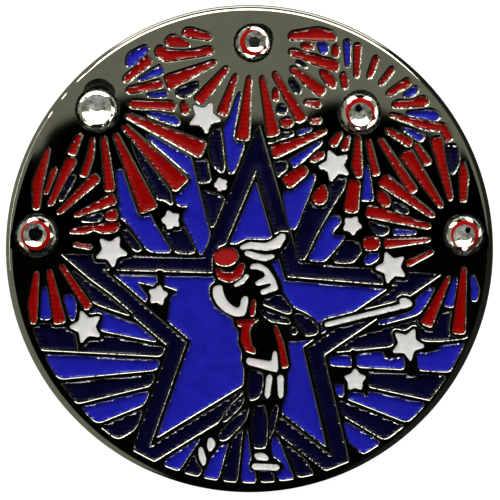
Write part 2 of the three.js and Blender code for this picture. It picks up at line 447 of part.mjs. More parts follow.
const sky = [
  ['blue', pane([[-6.92, 4.15], [-6.72, 4.15], [-6.0, 3.7], [-5.3, 2.2], [-5.1, 1.62], [-4.9, 1.25],
    [-4.05, -0.05], [-4.15, -0.22], [-5.08, -0.18], [-5.42, 0.05], [-6.4, 1.42], [-6.78, 1.7]])],
  ['navy', pane([[-6.62, 0.75], [-6.5, 1.12], [-6.28, 0.92], [-5.58, 0.05], [-5.68, -0.15], [-6.0, -0.1]])],
  ['navy', pane([[-4.65, 1.15], [-3.4, 1.2], [-2.76, -0.08], [-3.0, -0.28], [-3.7, -0.24], [-3.92, -0.1]])],
  ['blue', pane([[-5.38, 6.06], [-4.95, 6.06], [-3.35, 5.22], [-3.08, 4.85], [-2.02, 0.65], [-2.42, -0.3],
    [-2.6, -0.3], [-3.45, 1.5], [-3.42, 1.9], [-3.12, 2.22], [-3.72, 2.22], [-3.88, 2.6], [-3.9, 3.4],
    [-4.6, 4.6]])],
  ['navy', pane([[-1.98, 6.1], [-1.55, 6.32], [-1.42, 5.6], [-1.28, 4.1], [-1.45, 3.92], [-1.95, 4.42],
    [-2.12, 5.2]])],
  ['navy', pane([[-2.88, 4.65], [-2.2, 4.65], [-2.12, 3.98], [-1.98, 3.5], [-2.64, 3.38]])],
  ['navy', pane([[-2.52, 3.12], [-1.9, 2.92], [-1.25, 2.62], [-1.84, 1.12], [-2.04, 1.12]])],
  ['blue', pane([[-0.52, 8.2], [-0.36, 8.0], [-0.2, 5.6], [-0.72, 4.1], [-0.96, 3.86], [-1.1, 4.05],
    [-1.38, 6.3], [-1.1, 6.7], [-0.98, 7.0]])],
  ['navy', pane([[1.28, 4.65], [1.98, 4.55], [1.88, 3.88], [1.6, 3.68], [1.4, 3.88]])],
  ['navy', pane([[1.0, 5.38], [1.05, 5.68], [1.8, 6.12], [2.3, 6.12], [2.22, 5.75], [1.3, 5.42]])],
  ['blue', pane([[3.32, 3.92], [3.44, 3.75], [2.46, 1.1], [2.25, 0.96], [2.06, 1.1], [1.74, 2.62],
    [1.8, 2.98], [2.3, 3.6]])],
  ['navy', pane([[4.65, 3.8], [5.02, 3.85], [5.0, 3.3], [4.3, 2.2], [3.42, 0.6], [2.95, -0.42], [2.74, -0.64],
    [2.54, -0.5], [2.34, 0.45], [3.0, 2.35], [3.75, 2.8]])],
  ['red', pane([[3.85, 3.42], [4.08, 2.9], [4.02, 2.52], [3.75, 2.26], [3.42, 2.34], [3.22, 2.62],
    [3.32, 2.9]])],
  ['blue', pane([[4.3, 1.75], [4.6, 1.8], [4.8, 1.4], [4.28, 0.88], [4.35, 0.66], [4.92, 0.72], [4.96, 0.55],
    [4.42, -0.1], [3.9, -0.68], [3.15, -0.64], [3.08, -0.45], [3.42, 0.2], [3.98, 1.4]])],
  ['navy', pane([[5.0, 0.5], [5.7, 0.35], [5.88, -0.1], [5.38, -0.74], [4.5, -0.76], [4.32, -0.58],
    [4.6, -0.1]])],
  ['blue', pane([[9.6, -1.92], [9.58, -2.25], [8.92, -3.28], [8.6, -3.48], [6.75, -3.98], [6.62, -3.75],
    [8.3, -3.28], [8.58, -3.06], [8.62, -2.58], [9.1, -2.2]])],
];
// Bare metal inside the large star and the sun rays.
const bare = [
  [[-5.85, -1.72], [-5.0, -1.9], [-5.1, -2.3], [-5.36, -2.42]],
  [[-4.86, -1.08], [-4.44, -1.08], [-4.4, -2.0], [-4.75, -2.0]],
  [[-8.94, -4.8], [-8.66, -4.8], [-8.66, -5.38], [-8.94, -5.36]],
  [[-2.3, -9.68], [-1.5, -9.24], [-1.5, -9.8], [-2.3, -9.85]],
  [[-4.4, -1.92], [-3.66, -2.2], [-4.1, -2.44], [-4.24, -3.75], [-4.6, -3.5], [-5.4, -2.85], [-5.38, -2.6]],
  [[4.0, -6.3], [6.2, -6.3], [6.18, -7.1], [6.2, -7.6], [5.98, -7.64], [5.8, -7.3], [5.34, -7.4],
    [5.12, -7.68], [5.08, -7.88], [4.9, -7.88], [4.88, -7.0], [4.2, -6.98]],
  [[5.24, -5.2], [5.52, -5.2], [5.6, -6.4], [5.3, -6.4]],
  [[6.92, -5.2], [6.98, -5.62], [7.2, -5.68], [7.85, -5.6], [7.9, -5.2]],
  [[8.0, -5.6], [8.74, -5.6], [8.72, -6.6], [8.14, -6.6]],
  [[8.95, -4.8], [9.98, -4.8], [9.98, -5.05], [9.77, -5.27], [9.4, -5.33], [8.95, -5.42]],
  [[-11.8, -1.0], [-11.0, -1.0], [-11.0, -3.2], [-11.8, -3.2]],
  [[11.2, -2.4], [12.0, -2.4], [12.0, -4.2], [11.2, -4.2]],
].map((pairs) => pane(pairs, 0.08));
const drop = grown(sky.find(([colour]) => colour === 'red')[1], LINE);

// Sun rays: [angle of the first edge, angle between edges, colours in turn].
const FANS = [
  [160.2, 8.4, ['blue', 'navy', 'blue', 'navy', 'blue', 'navy']],
  [228.0, 9.0, ['blue', 'navy', 'blue', 'navy', 'blue', 'navy', 'blue', 'navy']],
  [320.0, 9.2, ['blue', 'navy', 'blue', 'navy', 'blue', 'navy']],
];

function wedge(first, last) {
  const far = 2 * COIN_RADIUS;
  const halfAngle = (last - first) / 2;
  const apex = polar(LINE / 2 / Math.sin(radians(halfAngle)), first + halfAngle).add(SUN);
  return [apex, polar(far, first).add(apex), polar(far, last).add(apex)];
}

const union = (solids) => solids.reduce((whole, piece) => whole.add(piece));
const field = block(round(FIELD.x, FIELD.y, FIELD.radius, RIM_SIDES), BELOW, ABOVE);
const inFront = union([...clearing, figure, drop, ...bare].map((outline) => block(outline, BELOW, ABOVE)));
const starAndBorder = block(aroundStar(BORDER_WIDTH + LINE), BELOW, ABOVE);

// Cells cut out of a solid that stands for the area behind the front artwork.
function backCells(colour, area, name) {
  return bodiesOf(area.subtract(inFront))
    .filter(({ volume }) => volume / (ABOVE - BELOW) > SMALLEST_CELL)
    .map(({ points, triangles }, i) => ({
      colour,
      upright: solid(geometryOf(points, triangles)),
      name: name && `${name}_${i + 1}`,
    }));
}

const behind = [
  ...backCells('blue', block(bluntStar(bigStar, BIG_STAR_BLUNT), BELOW, ABOVE), 'enamel_big_star'),
  ...backCells('navy', block(aroundStar(BORDER_WIDTH), BELOW, ABOVE)
    .subtract(block(aroundStar(BORDER_GAP), BELOW, ABOVE)).intersect(field), 'enamel_border'),
  ...FANS.flatMap(([first, step, colours]) => colours.flatMap((colour, i) => backCells(colour,
    block(wedge(first + step * i, first + step * (i + 1)), BELOW, ABOVE)
      .intersect(field).subtract(starAndBorder)))),
  ...sky.flatMap(([colour, outline]) => {
    if (colour === 'red') return [{ colour, upright: block(outline, BELOW, ABOVE) }];
    return backCells(colour, block(outline, BELOW, ABOVE));
  }),
];

// ---- the coin ----
function turned(profile, sides) {
  const geometry = new THREE.LatheGeometry(profile, sides);
  geometry.rotateX(Math.PI / 2);
  return geometry;
}

const quarter = (x, y, radius, from, to, steps) => (
  new THREE.EllipseCurve(x, y, radius, radius, radians(from), radians(to)).getPoints(steps)
);
const rim = [
  at(0, 0),
  ...quarter(COIN_RADIUS - BACK_ROUND, BACK_ROUND, BACK_ROUND, -90, 0, 2),
  ...quarter(COIN_RADIUS - FACE_ROUND, THICKNESS - FACE_ROUND, FACE_ROUND, 0, 90, 4),
  at(0, THICKNESS),
];

const slab = (bottom, top) => block(round(0, 0, COIN_RADIUS, RIM_SIDES), bottom, top);
const cellDepth = ({ colour, name }) => (name ? POCKET : SUNK[colour]);
const cells = [...front, ...behind];
for (const cell of front) cell.upright = block(cell.outline, BELOW, ABOVE);

// Cells of one depth are cut together.
const depths = [...new Set(cells.map(cellDepth))];
let coin = solid(turned(rim, RIM_SIDES));
for (const depth of depths) {
  const cut = union(cells.filter((cell) => cellDepth(cell) === depth).map((cell) => cell.upright));
  coin = coin.subtract(cut.intersect(slab(THICKNESS - depth, ABOVE)));
}
for (const { x, y, radius, slip } of Object.values(STONES)) {
  const seat = round(x, y, radius + SEAT_GAP);
  coin = coin.subtract(block(seat, THICKNESS - SEAT_DEPTH, ABOVE));
  if (slip) {
    const crescent = round(x + slip[0], y + slip[1], radius * SLIP_PART);
    coin = coin.subtract(block(crescent, THICKNESS - SLIP_DEPTH, ABOVE));
  }
}

const object = new THREE.Group();
function place(name, geometry, color, roughness, metalness = 0) {
  const mesh = new THREE.Mesh(geometry, new THREE.MeshStandardMaterial({ color, roughness, metalness }));
  mesh.name = name;
  object.add(mesh);
  return mesh;
}

place('struck_body', shell(coin), COLOURS.metal, 0.12, 1);

for (const { colour, name, upright } of cells) {
  if (!name) continue;
  const fill = upright.intersect(slab(THICKNESS - POCKET, THICKNESS - SUNK[colour]));
  place(name, shell(fill), COLOURS[colour], 0.25);
}

// ---- stones, and what holds them ----
function ringAt(radius, height, turn) {
  return Array.from({ length: STONE_SIDES }, (_, i) => {
    const { x, y } = polar(radius, (360 * i) / STONE_SIDES + turn);
    return new THREE.Vector3(x, y, height);
  });
}

const halfStep = 180 / STONE_SIDES;
const WAIST_PART = 0.55; // the back of a stone changes slope at this part of its radius
const WAIST_DEPTH = 0.52; // and at this part of its depth
const stonePoints = (radius) => [
  ...ringAt(radius * TABLE_PART, radius * (GIRDLE_PART + CROWN_PART), 0),
  ...ringAt(radius, radius * GIRDLE_PART, halfStep),
  ...ringAt(radius, 0, halfStep),
  ...ringAt(radius * WAIST_PART, -radius * PAVILION_PART * WAIST_DEPTH, 0),
  new THREE.Vector3(0, 0, -radius * PAVILION_PART),
];

// Glue fills the seat below the girdle, round the pointed back of the stone.
const FILM = 0.012;
const GLUE_TOP = THICKNESS - SLIP_DEPTH;
const GLUE_HOLE = 0.16;
const seatFloor = THICKNESS - SEAT_DEPTH + SEAT_ENAMEL;
function glueProfile(radius) {
  const outer = radius + SEAT_GAP - FILM;
  const depth = radius * PAVILION_PART;
  const slope = (radius * (1 - WAIST_PART)) / (depth * WAIST_DEPTH);
  const lowerSlope = (radius * WAIST_PART) / (depth * (1 - WAIST_DEPTH));
  const touching = radius - slope * SLIP_DEPTH + FILM;
  const holeDepth = depth - GLUE_HOLE / lowerSlope + FILM;
  return [
    at(GLUE_HOLE, seatFloor), at(outer, seatFloor), at(outer, GLUE_TOP), at(touching, GLUE_TOP),
    at(radius * WAIST_PART + FILM, THICKNESS - depth * WAIST_DEPTH), at(GLUE_HOLE, THICKNESS - holeDepth),
    at(GLUE_HOLE, seatFloor),
  ];
}

for (const [name, { x, y, radius }] of Object.entries(STONES)) {
  const stone = place(`crystal_${name}`, new ConvexGeometry(stonePoints(radius)), COLOURS.stone, 0.02);
  stone.position.set(x, y, THICKNESS);
  const floor = block(round(0, 0, radius + SEAT_GAP - FILM), THICKNESS - SEAT_DEPTH, seatFloor);
  place(`seat_enamel_${name}`, shell(floor), COLOURS.red, 0.3).position.set(x, y, 0);
  place(`glue_${name}`, turned(glueProfile(radius), SEAT_SIDES), COLOURS.glue, 0.15).position.set(x, y, 0);
}

export default object;
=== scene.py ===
"""Looks of the golf ball marker: a struck coin in black nickel, soft enamel in its sunk cells, and
five glued stones. Metres, in the frame of the CAD model. +Z comes out of the face."""

import json
import math
import random

import bpy
import numpy as np
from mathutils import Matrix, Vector
from mathutils.geometry import delaunay_2d_cdt
from mathutils.kdtree import KDTree

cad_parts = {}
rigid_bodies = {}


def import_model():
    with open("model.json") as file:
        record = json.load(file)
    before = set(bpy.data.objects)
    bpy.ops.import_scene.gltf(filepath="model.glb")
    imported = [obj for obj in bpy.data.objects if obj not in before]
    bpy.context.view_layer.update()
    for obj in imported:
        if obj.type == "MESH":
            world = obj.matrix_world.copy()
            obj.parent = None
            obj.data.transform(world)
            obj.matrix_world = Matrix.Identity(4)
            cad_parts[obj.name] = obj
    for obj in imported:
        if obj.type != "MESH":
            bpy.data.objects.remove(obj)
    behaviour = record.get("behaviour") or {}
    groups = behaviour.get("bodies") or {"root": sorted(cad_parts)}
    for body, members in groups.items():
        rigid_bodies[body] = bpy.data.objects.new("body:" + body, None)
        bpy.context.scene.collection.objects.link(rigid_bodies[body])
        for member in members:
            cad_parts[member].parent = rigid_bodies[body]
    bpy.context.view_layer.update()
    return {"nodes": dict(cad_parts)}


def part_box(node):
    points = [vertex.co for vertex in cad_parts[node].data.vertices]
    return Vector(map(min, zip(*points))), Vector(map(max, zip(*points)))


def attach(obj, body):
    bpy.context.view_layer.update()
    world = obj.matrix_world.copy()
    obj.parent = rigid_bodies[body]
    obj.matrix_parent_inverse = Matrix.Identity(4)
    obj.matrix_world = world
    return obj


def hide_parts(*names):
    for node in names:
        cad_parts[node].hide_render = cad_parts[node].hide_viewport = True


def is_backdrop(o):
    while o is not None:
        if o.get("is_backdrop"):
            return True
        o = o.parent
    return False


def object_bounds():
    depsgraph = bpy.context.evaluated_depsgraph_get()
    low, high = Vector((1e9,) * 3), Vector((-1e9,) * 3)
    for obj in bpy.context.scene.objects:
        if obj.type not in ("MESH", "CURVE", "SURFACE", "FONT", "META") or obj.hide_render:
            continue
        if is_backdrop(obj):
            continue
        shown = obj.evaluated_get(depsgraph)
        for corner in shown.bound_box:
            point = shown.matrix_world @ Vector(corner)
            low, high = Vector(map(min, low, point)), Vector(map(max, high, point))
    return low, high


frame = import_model()
nodes = frame["nodes"]
MM = 0.001

# ---- sizes, in metres ----
COIN_LOW, COIN_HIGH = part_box("struck_body")
COIN_RADIUS = (COIN_HIGH.x - COIN_LOW.x) / 2
FACE = COIN_HIGH.z
FACE_ROUND = 0.42 * MM
BACK_ROUND = 0.2 * MM
RIM_STEPS = 360
FACE_TURNS, BACK_TURNS = 9, 7  # rings that make the two rounded edges of the coin
EDGE_ROUND = 0.03 * MM  # where a raised line turns down
EDGE_TURNS = 4  # rings that make the rounding
SLOPE_WIDTH = 0.07 * MM  # the struck slope below that, which ends at the enamel
SLOPE_TILT = 31.0  # degrees, as the other tilts
SHOULDER_STEP, SHOULDER_DROP, SHOULDER_TILT = 0.01 * MM, 0.02 * MM, 60.0  # between slope and wall
WALL_TILT = 80.0
FOOT_DEPTH = 0.04 * MM  # walls reach this far below the enamel
SLOPE_GROWS = ((-1.0 * MM, 6.0 * MM), (0.42, 1.1))  # slopes are wider in the upper part of the picture
LINE_SHARE = 0.36  # most of a raised line's width that one slope may take
LINE_REACH = 0.4 * MM  # lines wider than this count as this wide
LEAST_ROOM = 0.2  # a slope keeps at least this part of its full size
MENISCUS_HEIGHT = 0.085 * MM  # how far wet enamel climbs its wall
MENISCUS_REACH = 0.11 * MM
MENISCUS_SHARE = 0.75  # most of its depth that the enamel climbs
RIPPLE = 0.24 * MM  # the climbing edge of the enamel rises and falls at this spacing
RIPPLE_REACH = 0.06 * MM
PLAIN_SHARE, RIPPLE_SHARE = 0.66, 0.27  # parts of the full height
FILL_INSET = 0.012 * MM  # the edge of the enamel lies this far inside the outline of its cell
FILL_DROP = 0.01 * MM  # and its middle lies this much lower, since its edge climbs
SHELVES = (0.02 * MM, 0.045 * MM, 0.075 * MM, 0.12 * MM, 0.18 * MM)  # rings of points along the wall
SHELF_ROOM = 0.9  # points of a ring keep at least this share of its reach from every wall
GRID = 0.11 * MM  # spacing of the points on an enamel surface
GRID_ROW = 0.866  # rows of equal triangles lie this part of the spacing apart
GRID_START = 0.2 * MM  # the even grid keeps this far from the walls
EDGE_STEP = 0.055 * MM  # spacing of the points along an outline
FEWEST_POINTS = 12
CORNER_POINTS = 7
CORNER_SHARE = 0.45  # a rounded corner takes at most this part of each side
POCKET = 0.45 * MM
SUNK = {"white": 0.07 * MM, "red": 0.16 * MM, "blue": 0.20 * MM, "navy": 0.24 * MM}
SLOPES = {"white": 0.45, "red": 1.0, "blue": 1.0, "navy": 1.0}  # share of the full slope
SEAT_DEPTH = 1.0 * MM
SLIP_DEPTH = 0.3 * MM
CONE_TILT = math.radians(29.0)
DEPTH_MARGIN = 0.02 * MM  # a facet this close to a known depth counts as that depth
SLIP_MARGIN = 0.015 * MM
SLIP_REACH = 1.6 * MM  # a crescent this close to a stone belongs to it
SEAT_GAP = 0.09 * MM  # a bore is this much wider than its stone on each side
BEYOND_BORE = 1.3  # points past this many gaps from the stone belong to the crescent, not to the bore
BORE_SIDES = 96
BORE_CORNER = 0.03 * MM  # the horns of a crescent are rounded by this much
LIP = 0.05 * MM  # depth of the rounded edge of a seat
LIP_SLOPE = 0.4  # share of the full slope
SAME_POINT = 0.0005 * MM
SAME_LEVEL = 0.002 * MM
SHORT_EDGE = 0.004 * MM
STRAIGHT = 0.02  # sine of a turn that counts as none
TINY_LENGTH, TINY_AREA = 1e-9, 1e-18
FAR = 1e9
CDT_NEARNESS = 1e-6  # outlines are triangulated in millimetres, with points this close taken as one
KEEP_INSIDE = 1  # mode of the triangulation that keeps only triangles inside the outlines


# ---- materials ----
WHITE = (1.0, 1.0, 1.0)


def new_material(name):
    material = bpy.data.materials.new(name)
    material.use_nodes = True
    tree = material.node_tree
    return material, tree, tree.nodes["Principled BSDF"]


def node(tree, kind, inputs=None, **settings):
    """A new node; an input is either another node's output, which is linked, or a value."""
    made = tree.nodes.new(kind)
    for key, value in settings.items():
        setattr(made, key, value)
    for key, value in (inputs or {}).items():
        if isinstance(value, bpy.types.NodeSocket):
            tree.links.new(value, made.inputs[key])
        else:
            made.inputs[key].default_value = value
    return made


def noise(tree, coordinates, scale, detail=4.0, roughness=0.55):
    """Cloudy noise; the scale is in waves per metre."""
    made = node(tree, "ShaderNodeTexNoise", {"Vector": coordinates, "Scale": scale, "Detail": detail,
                                             "Roughness": roughness})
    return made.outputs["Fac"]


def ramp(tree, factor, stops):
    made = node(tree, "ShaderNodeValToRGB", {"Fac": factor})
    bar = made.color_ramp
    while len(bar.elements) < len(stops):
        bar.elements.new(0.5)
    for element, (place, colour) in zip(bar.elements, stops):
        element.position = place
        element.color = (*colour, 1.0) if len(colour) == 3 else colour
    return made.outputs["Color"]


def remap(tree, factor, low, high):
    made = node(tree, "ShaderNodeMapRange", {"Value": factor, "To Min": low, "To Max": high})
    return made.outputs["Result"]


def object_space(tree):
    return node(tree, "ShaderNodeTexCoord").outputs["Object"]


def bump(tree, height, strength, distance, onto=None):
    """Fine relief, this many metres high at full strength, laid over an earlier one if given."""
    inputs = {"Height": height, "Strength": strength, "Distance": distance}
    if onto is not None:
        inputs["Normal"] = onto
    return node(tree, "ShaderNodeBump", inputs).outputs["Normal"]


POLISHED_TONES = ((0.40, 0.40, 0.335), (0.46, 0.46, 0.39))
FROSTED_TONES = ((0.26, 0.26, 0.215), (0.34, 0.34, 0.28))


def black_nickel(name, frosted):
    """Dark mirror plating; a frosted one has the fine ripple of a struck slope."""
    material, tree, shader = new_material(name)
    space = object_space(tree)
    clouds = noise(tree, space, 900.0, 3.0)
    dark, light = FROSTED_TONES if frosted else POLISHED_TONES
    tone = ramp(tree, clouds, [(0.3, dark), (0.7, light)])
    tree.links.new(tone, shader.inputs["Base Color"])
    shader.inputs["Metallic"].default_value = 1.0
    smudge = noise(tree, space, 420.0, 5.0, 0.65)
    tree.links.new(remap(tree, smudge, 0.012, 0.04), shader.inputs["Roughness"])
    # The plating follows faint waves left by the die, and fine polishing grain.
    waves = bump(tree, noise(tree, space, 260.0, 2.0), 0.25, 0.004 * MM)
    grain = bump(tree, noise(tree, space, 14000.0, 2.0), 0.12, 0.001 * MM, waves)
    if frosted:
        grain = bump(tree, noise(tree, space, 6500.0, 1.0), 1.0, 0.015 * MM, grain)
    tree.links.new(grain, shader.inputs["Normal"])
    return material


def enamel(name, dark, light, roughness):
    material, tree, shader = new_material(name)
    space = object_space(tree)
    mottle = noise(tree, space, 1500.0, 5.0, 0.6)
    tree.links.new(ramp(tree, mottle, [(0.35, dark), (0.65, light)]), shader.inputs["Base Color"])
    tree.links.new(remap(tree, noise(tree, space, 2600.0, 3.0), roughness * 0.7, roughness * 1.4),
                   shader.inputs["Roughness"])
    shader.inputs["IOR"].default_value = 1.52
    shader.inputs["Specular IOR Level"].default_value = 0.3
    # Baked lacquer: shallow orange peel, and specks of dust under it.
    peel = bump(tree, noise(tree, space, 3200.0, 2.0), 0.35, 0.006 * MM)
    peel = bump(tree, noise(tree, space, 7000.0, 1.0), 1.0, 0.004 * MM, peel)
    tree.links.new(peel, shader.inputs["Normal"])
    return material


def clear(name, colour, ior, roughness):
    material, tree, shader = new_material(name)
    space = object_space(tree)
    haze = ramp(tree, noise(tree, space, 2500.0, 3.0), [(0.3, colour), (0.7, WHITE)])
    tree.links.new(haze, shader.inputs["Base Color"])
    tree.links.new(remap(tree, noise(tree, space, 5000.0, 2.0), 0.0, roughness), shader.inputs["Roughness"])
    shader.inputs["IOR"].default_value = ior
    shader.inputs["Transmission Weight"].default_value = 1.0
    return material


METAL = black_nickel("black_nickel", False)
SLOPE_METAL = black_nickel("black_nickel_slopes", True)
ENAMEL = {
    "red": enamel("red_enamel", (0.245, 0.0012, 0.0006), (0.30, 0.0020, 0.0009), 0.07),
    "blue": enamel("blue_enamel", (0.010, 0.012, 0.37), (0.015, 0.017, 0.44), 0.07),
    "navy": enamel("navy_enamel", (0.0014, 0.0015, 0.018), (0.0030, 0.0032, 0.029), 0.06),
    "white": enamel("white_enamel", (0.71, 0.71, 0.74), (0.79, 0.79, 0.81), 0.22),
}
CRYSTAL = clear("crystal", (0.93, 0.96, 0.94), 1.58, 0.02)


# Near-black metal for the bores and the crescents beside them: painted shade, much darker than the plating
# so that these hollows show black.
def bore_metal_painted_shade():
    material, tree, shader = new_material("bore_metal_painted_shade")
    space = object_space(tree)
    dark, light = (0.05, 0.05, 0.045), (0.10, 0.10, 0.085)
    tone = ramp(tree, noise(tree, space, 1500.0, 3.0), [(0.3, dark), (0.7, light)])
    tree.links.new(tone, shader.inputs["Base Color"])
    shader.inputs["Metallic"].default_value = 1.0
    tree.links.new(remap(tree, noise(tree, space, 3000.0, 2.0), 0.15, 0.3), shader.inputs["Roughness"])
    return material


SHADED_BORE_METAL = bore_metal_painted_shade()


def silver_foil(name, roughness, dark, light):
    material, tree, shader = new_material(name)
    space = object_space(tree)
    tone = ramp(tree, noise(tree, space, 3000.0, 2.0), [(0.35, dark), (0.7, light)])
    tree.links.new(tone, shader.inputs["Base Color"])
    shader.inputs["Metallic"].default_value = 1.0
    tree.links.new(remap(tree, noise(tree, space, 6000.0, 2.0), roughness * 0.5, roughness * 1.5),
                   shader.inputs["Roughness"])
    crinkle = bump(tree, noise(tree, space, 7000.0, 2.0), 1.0, 0.0025 * MM)
    tree.links.new(crinkle, shader.inputs["Normal"])
    return material


FOIL = silver_foil("silver_foil", 0.05, (0.80, 0.77, 0.64), (0.93, 0.91, 0.83))
# A darker, rougher copy of the foil for the part of a stone's back that faces away from the key: painted
# shade.
SHADED_FOIL = silver_foil("shaded_silver_foil", 0.3, (0.16, 0.17, 0.15), (0.74, 0.76, 0.70))
# Near-black backing without sheen for the middle patch of some stones: a painted dark reflection.
PAINTED_DARK_CENTRE = enamel("bare_backing", (0.002, 0.002, 0.002), (0.006, 0.006, 0.005), 0.3)
PAINTED_DARK_CENTRE.node_tree.nodes["Principled BSDF"].inputs["Specular IOR Level"].default_value = 0.0
GLUE = clear("clear_glue", (0.55, 0.52, 0.46), 1.3, 0.5)


# ---- outlines read from the CAD coin ----
def flat_floors():
    """Every level facet of the coin's face as (height, list of loops); the outer loop comes first."""
    mesh = nodes["struck_body"].data
    places = np.array([v.co for v in mesh.vertices], float)
    keys = np.round(places / SAME_POINT).astype(np.int64)
    merged = {}
    same = np.array([merged.setdefault(tuple(k), i) for i, k in enumerate(keys)])
    level = {}
    for polygon in mesh.polygons:
        ring = [int(same[i]) for i in polygon.vertices]
        heights = places[ring, 2]
        if polygon.normal.z > 0.99 and np.ptp(heights) < SAME_LEVEL / 2:
            level.setdefault(int(round(heights[0] / SAME_LEVEL)), []).append(ring)
    found = []
    for rings in level.values():
        owner = {}

        def root(i):
            while owner.setdefault(i, i) != i:
                owner[i] = owner[owner[i]]
                i = owner[i]
            return i

        for ring in rings:
            for i in ring[1:]:
                owner[root(i)] = root(ring[0])
        groups = {}
        for ring in rings:
            groups.setdefault(root(ring[0]), []).append(ring)
        for members in groups.values():
            edges = {(a, b) for ring in members for a, b in zip(ring, ring[1:] + ring[:1])}
            border = {a: b for a, b in edges if (b, a) not in edges}
            loops = []
            while border:
                start, current = next(iter(border.items()))
                loop = [start]
                del border[start]
                while current != start and current in border:
                    loop.append(current)
                    current = border.pop(current)
                loops.append(places[loop, :2])
            loops.sort(key=lambda loop: -abs(area(loop)))
            found.append((float(places[members[0][0], 2]), loops))
    return found


def area(loop):
    x, y = loop[:, 0], loop[:, 1]
    return float(np.dot(x, np.roll(y, -1)) - np.dot(y, np.roll(x, -1))) / 2


def anticlockwise(loop):
    return loop if area(loop) > 0 else loop[::-1]


def cleaned(loop):
    """The loop without doubled points and points along a straight edge."""
    keep = []
    count = len(loop)
    for i in range(count):
        before, here, after = loop[i - 1], loop[i], loop[(i + 1) % count]
        u, v = here - before, after - here
        if np.hypot(*u) < SHORT_EDGE:
            continue
        turn = abs(u[0] * v[1] - u[1] * v[0]) / (np.hypot(*u) * np.hypot(*v) + TINY_AREA)
        if turn > STRAIGHT or np.dot(u, v) < 0:
            keep.append(here)
    return np.array(keep) if len(keep) >= 3 else loop


def softened(loop, reach):
    """Corners rounded with a short curve, then points laid evenly along the outline."""
    smooth = []
    count = len(loop)
    for i in range(count):
        corner = loop[i]
        before, after = loop[i - 1] - corner, loop[(i + 1) % count] - corner
        a, b = np.hypot(*before), np.hypot(*after)
        start = corner + before * min(reach / a, CORNER_SHARE)
        end = corner + after * min(reach / b, CORNER_SHARE)
        for t in np.linspace(0, 1, CORNER_POINTS):
            smooth.append((1 - t) ** 2 * start + 2 * t * (1 - t) * corner + t ** 2 * end)
    smooth = np.array(smooth)
    steps = np.hypot(*(np.roll(smooth, -1, 0) - smooth).T)
    smooth, steps = smooth[steps > TINY_LENGTH], steps[steps > TINY_LENGTH]
    along = np.concatenate([[0], np.cumsum(steps)])
    total = along[-1]
    wanted = max(FEWEST_POINTS, int(total / EDGE_STEP))
    closed = np.vstack([smooth, smooth[:1]])
    at = np.linspace(0, total, wanted, endpoint=False)
    return np.stack([np.interp(at, along, closed[:, 0]), np.interp(at, along, closed[:, 1])], 1)


def inward(loop):
    """Unit normals that point into the loop, which runs anticlockwise."""
    ahead = np.roll(loop, -1, 0) - loop
    ahead /= np.maximum(np.hypot(*ahead.T), TINY_LENGTH)[:, None]
    behind = np.roll(ahead, 1, 0)
    along = ahead + behind
    along /= np.maximum(np.hypot(*along.T), TINY_LENGTH)[:, None]
    return np.stack([-along[:, 1], along[:, 0]], 1)


def distance_to(points, loops, batch=4000):
    """Shortest distance from each point to the edges of the loops, worked out in batches."""
    best = np.full(len(points), FAR)
    for loop in loops:
        a = loop
        ab = np.roll(loop, -1, 0) - loop
        size = np.maximum((ab ** 2).sum(1), TINY_AREA)
        for low in range(0, len(points), batch):
            p = points[low:low + batch]
            ap = p[:, None, :] - a[None]
            t = np.clip((ap * ab[None]).sum(2) / size[None], 0, 1)
            gap = ap - t[..., None] * ab[None]
            nearest = np.sqrt((gap ** 2).sum(2)).min(1)
            best[low:low + batch] = np.minimum(best[low:low + batch], nearest)
    return best


def inside(points, loop):
    x, y = points[:, 0], points[:, 1]
    hit = np.zeros(len(points), bool)
    for (x1, y1), (x2, y2) in zip(loop, np.roll(loop, -1, 0)):
        if y1 == y2:
            continue
        crosses = ((y1 > y) != (y2 > y)) & (x < (x2 - x1) * (y - y1) / (y2 - y1) + x1)
        hit ^= crosses
    return hit


# ---- mesh helper ----
class Sheet:
    """Points, faces and the normal at each point, gathered into one mesh."""

    def __init__(self):
        self.points, self.normals, self.faces = [], [], []
        self.count = 0
        self.skins = {}

    def add(self, points, normals=None):
        start = self.count
        points = np.asarray(points, float)
        self.points.append(points)
        self.normals.append(np.zeros_like(points) if normals is None else np.asarray(normals, float))
        self.count += len(points)
        return start

    def cover(self, faces, skin=0):
        for face in faces:
            self.skins[len(self.faces)] = skin
            self.faces.append(face)

    def band(self, first, second, count, skin=0):
        """Quads between two closed rings of equal length."""
        ends = [(i, (i + 1) % count) for i in range(count)]
        self.cover([(first + i, first + j, second + j, second + i) for i, j in ends], skin)

    def level(self, rings, height, facing_up):
        """A level region between rings, the first of which is its outer edge."""
        out, faces = triangulated(rings, [])
        base = self.add(np.column_stack([out, np.full(len(out), height)]),
                        np.tile((0, 0, 1.0 if facing_up else -1.0), (len(out), 1)))
        self.faces += [tuple(base + i for i in (face if facing_up else face[::-1])) for face in faces]

    def build(self, name, *materials, own_normals=False):
        mesh = bpy.data.meshes.new(name)
        points = np.concatenate(self.points)
        mesh.from_pydata(points.tolist(), [], self.faces)
        mesh.polygons.foreach_set("use_smooth", [True] * len(mesh.polygons))
        for material in materials:
            mesh.materials.append(material)
        mesh.polygons.foreach_set("material_index", [self.skins.get(i, 0) for i in range(len(self.faces))])
        if own_normals:
            mesh.normals_split_custom_set_from_vertices(np.concatenate(self.normals).tolist())
        mesh.update()
        piece = bpy.data.objects.new(name, mesh)
        bpy.context.scene.collection.objects.link(piece)
        return piece


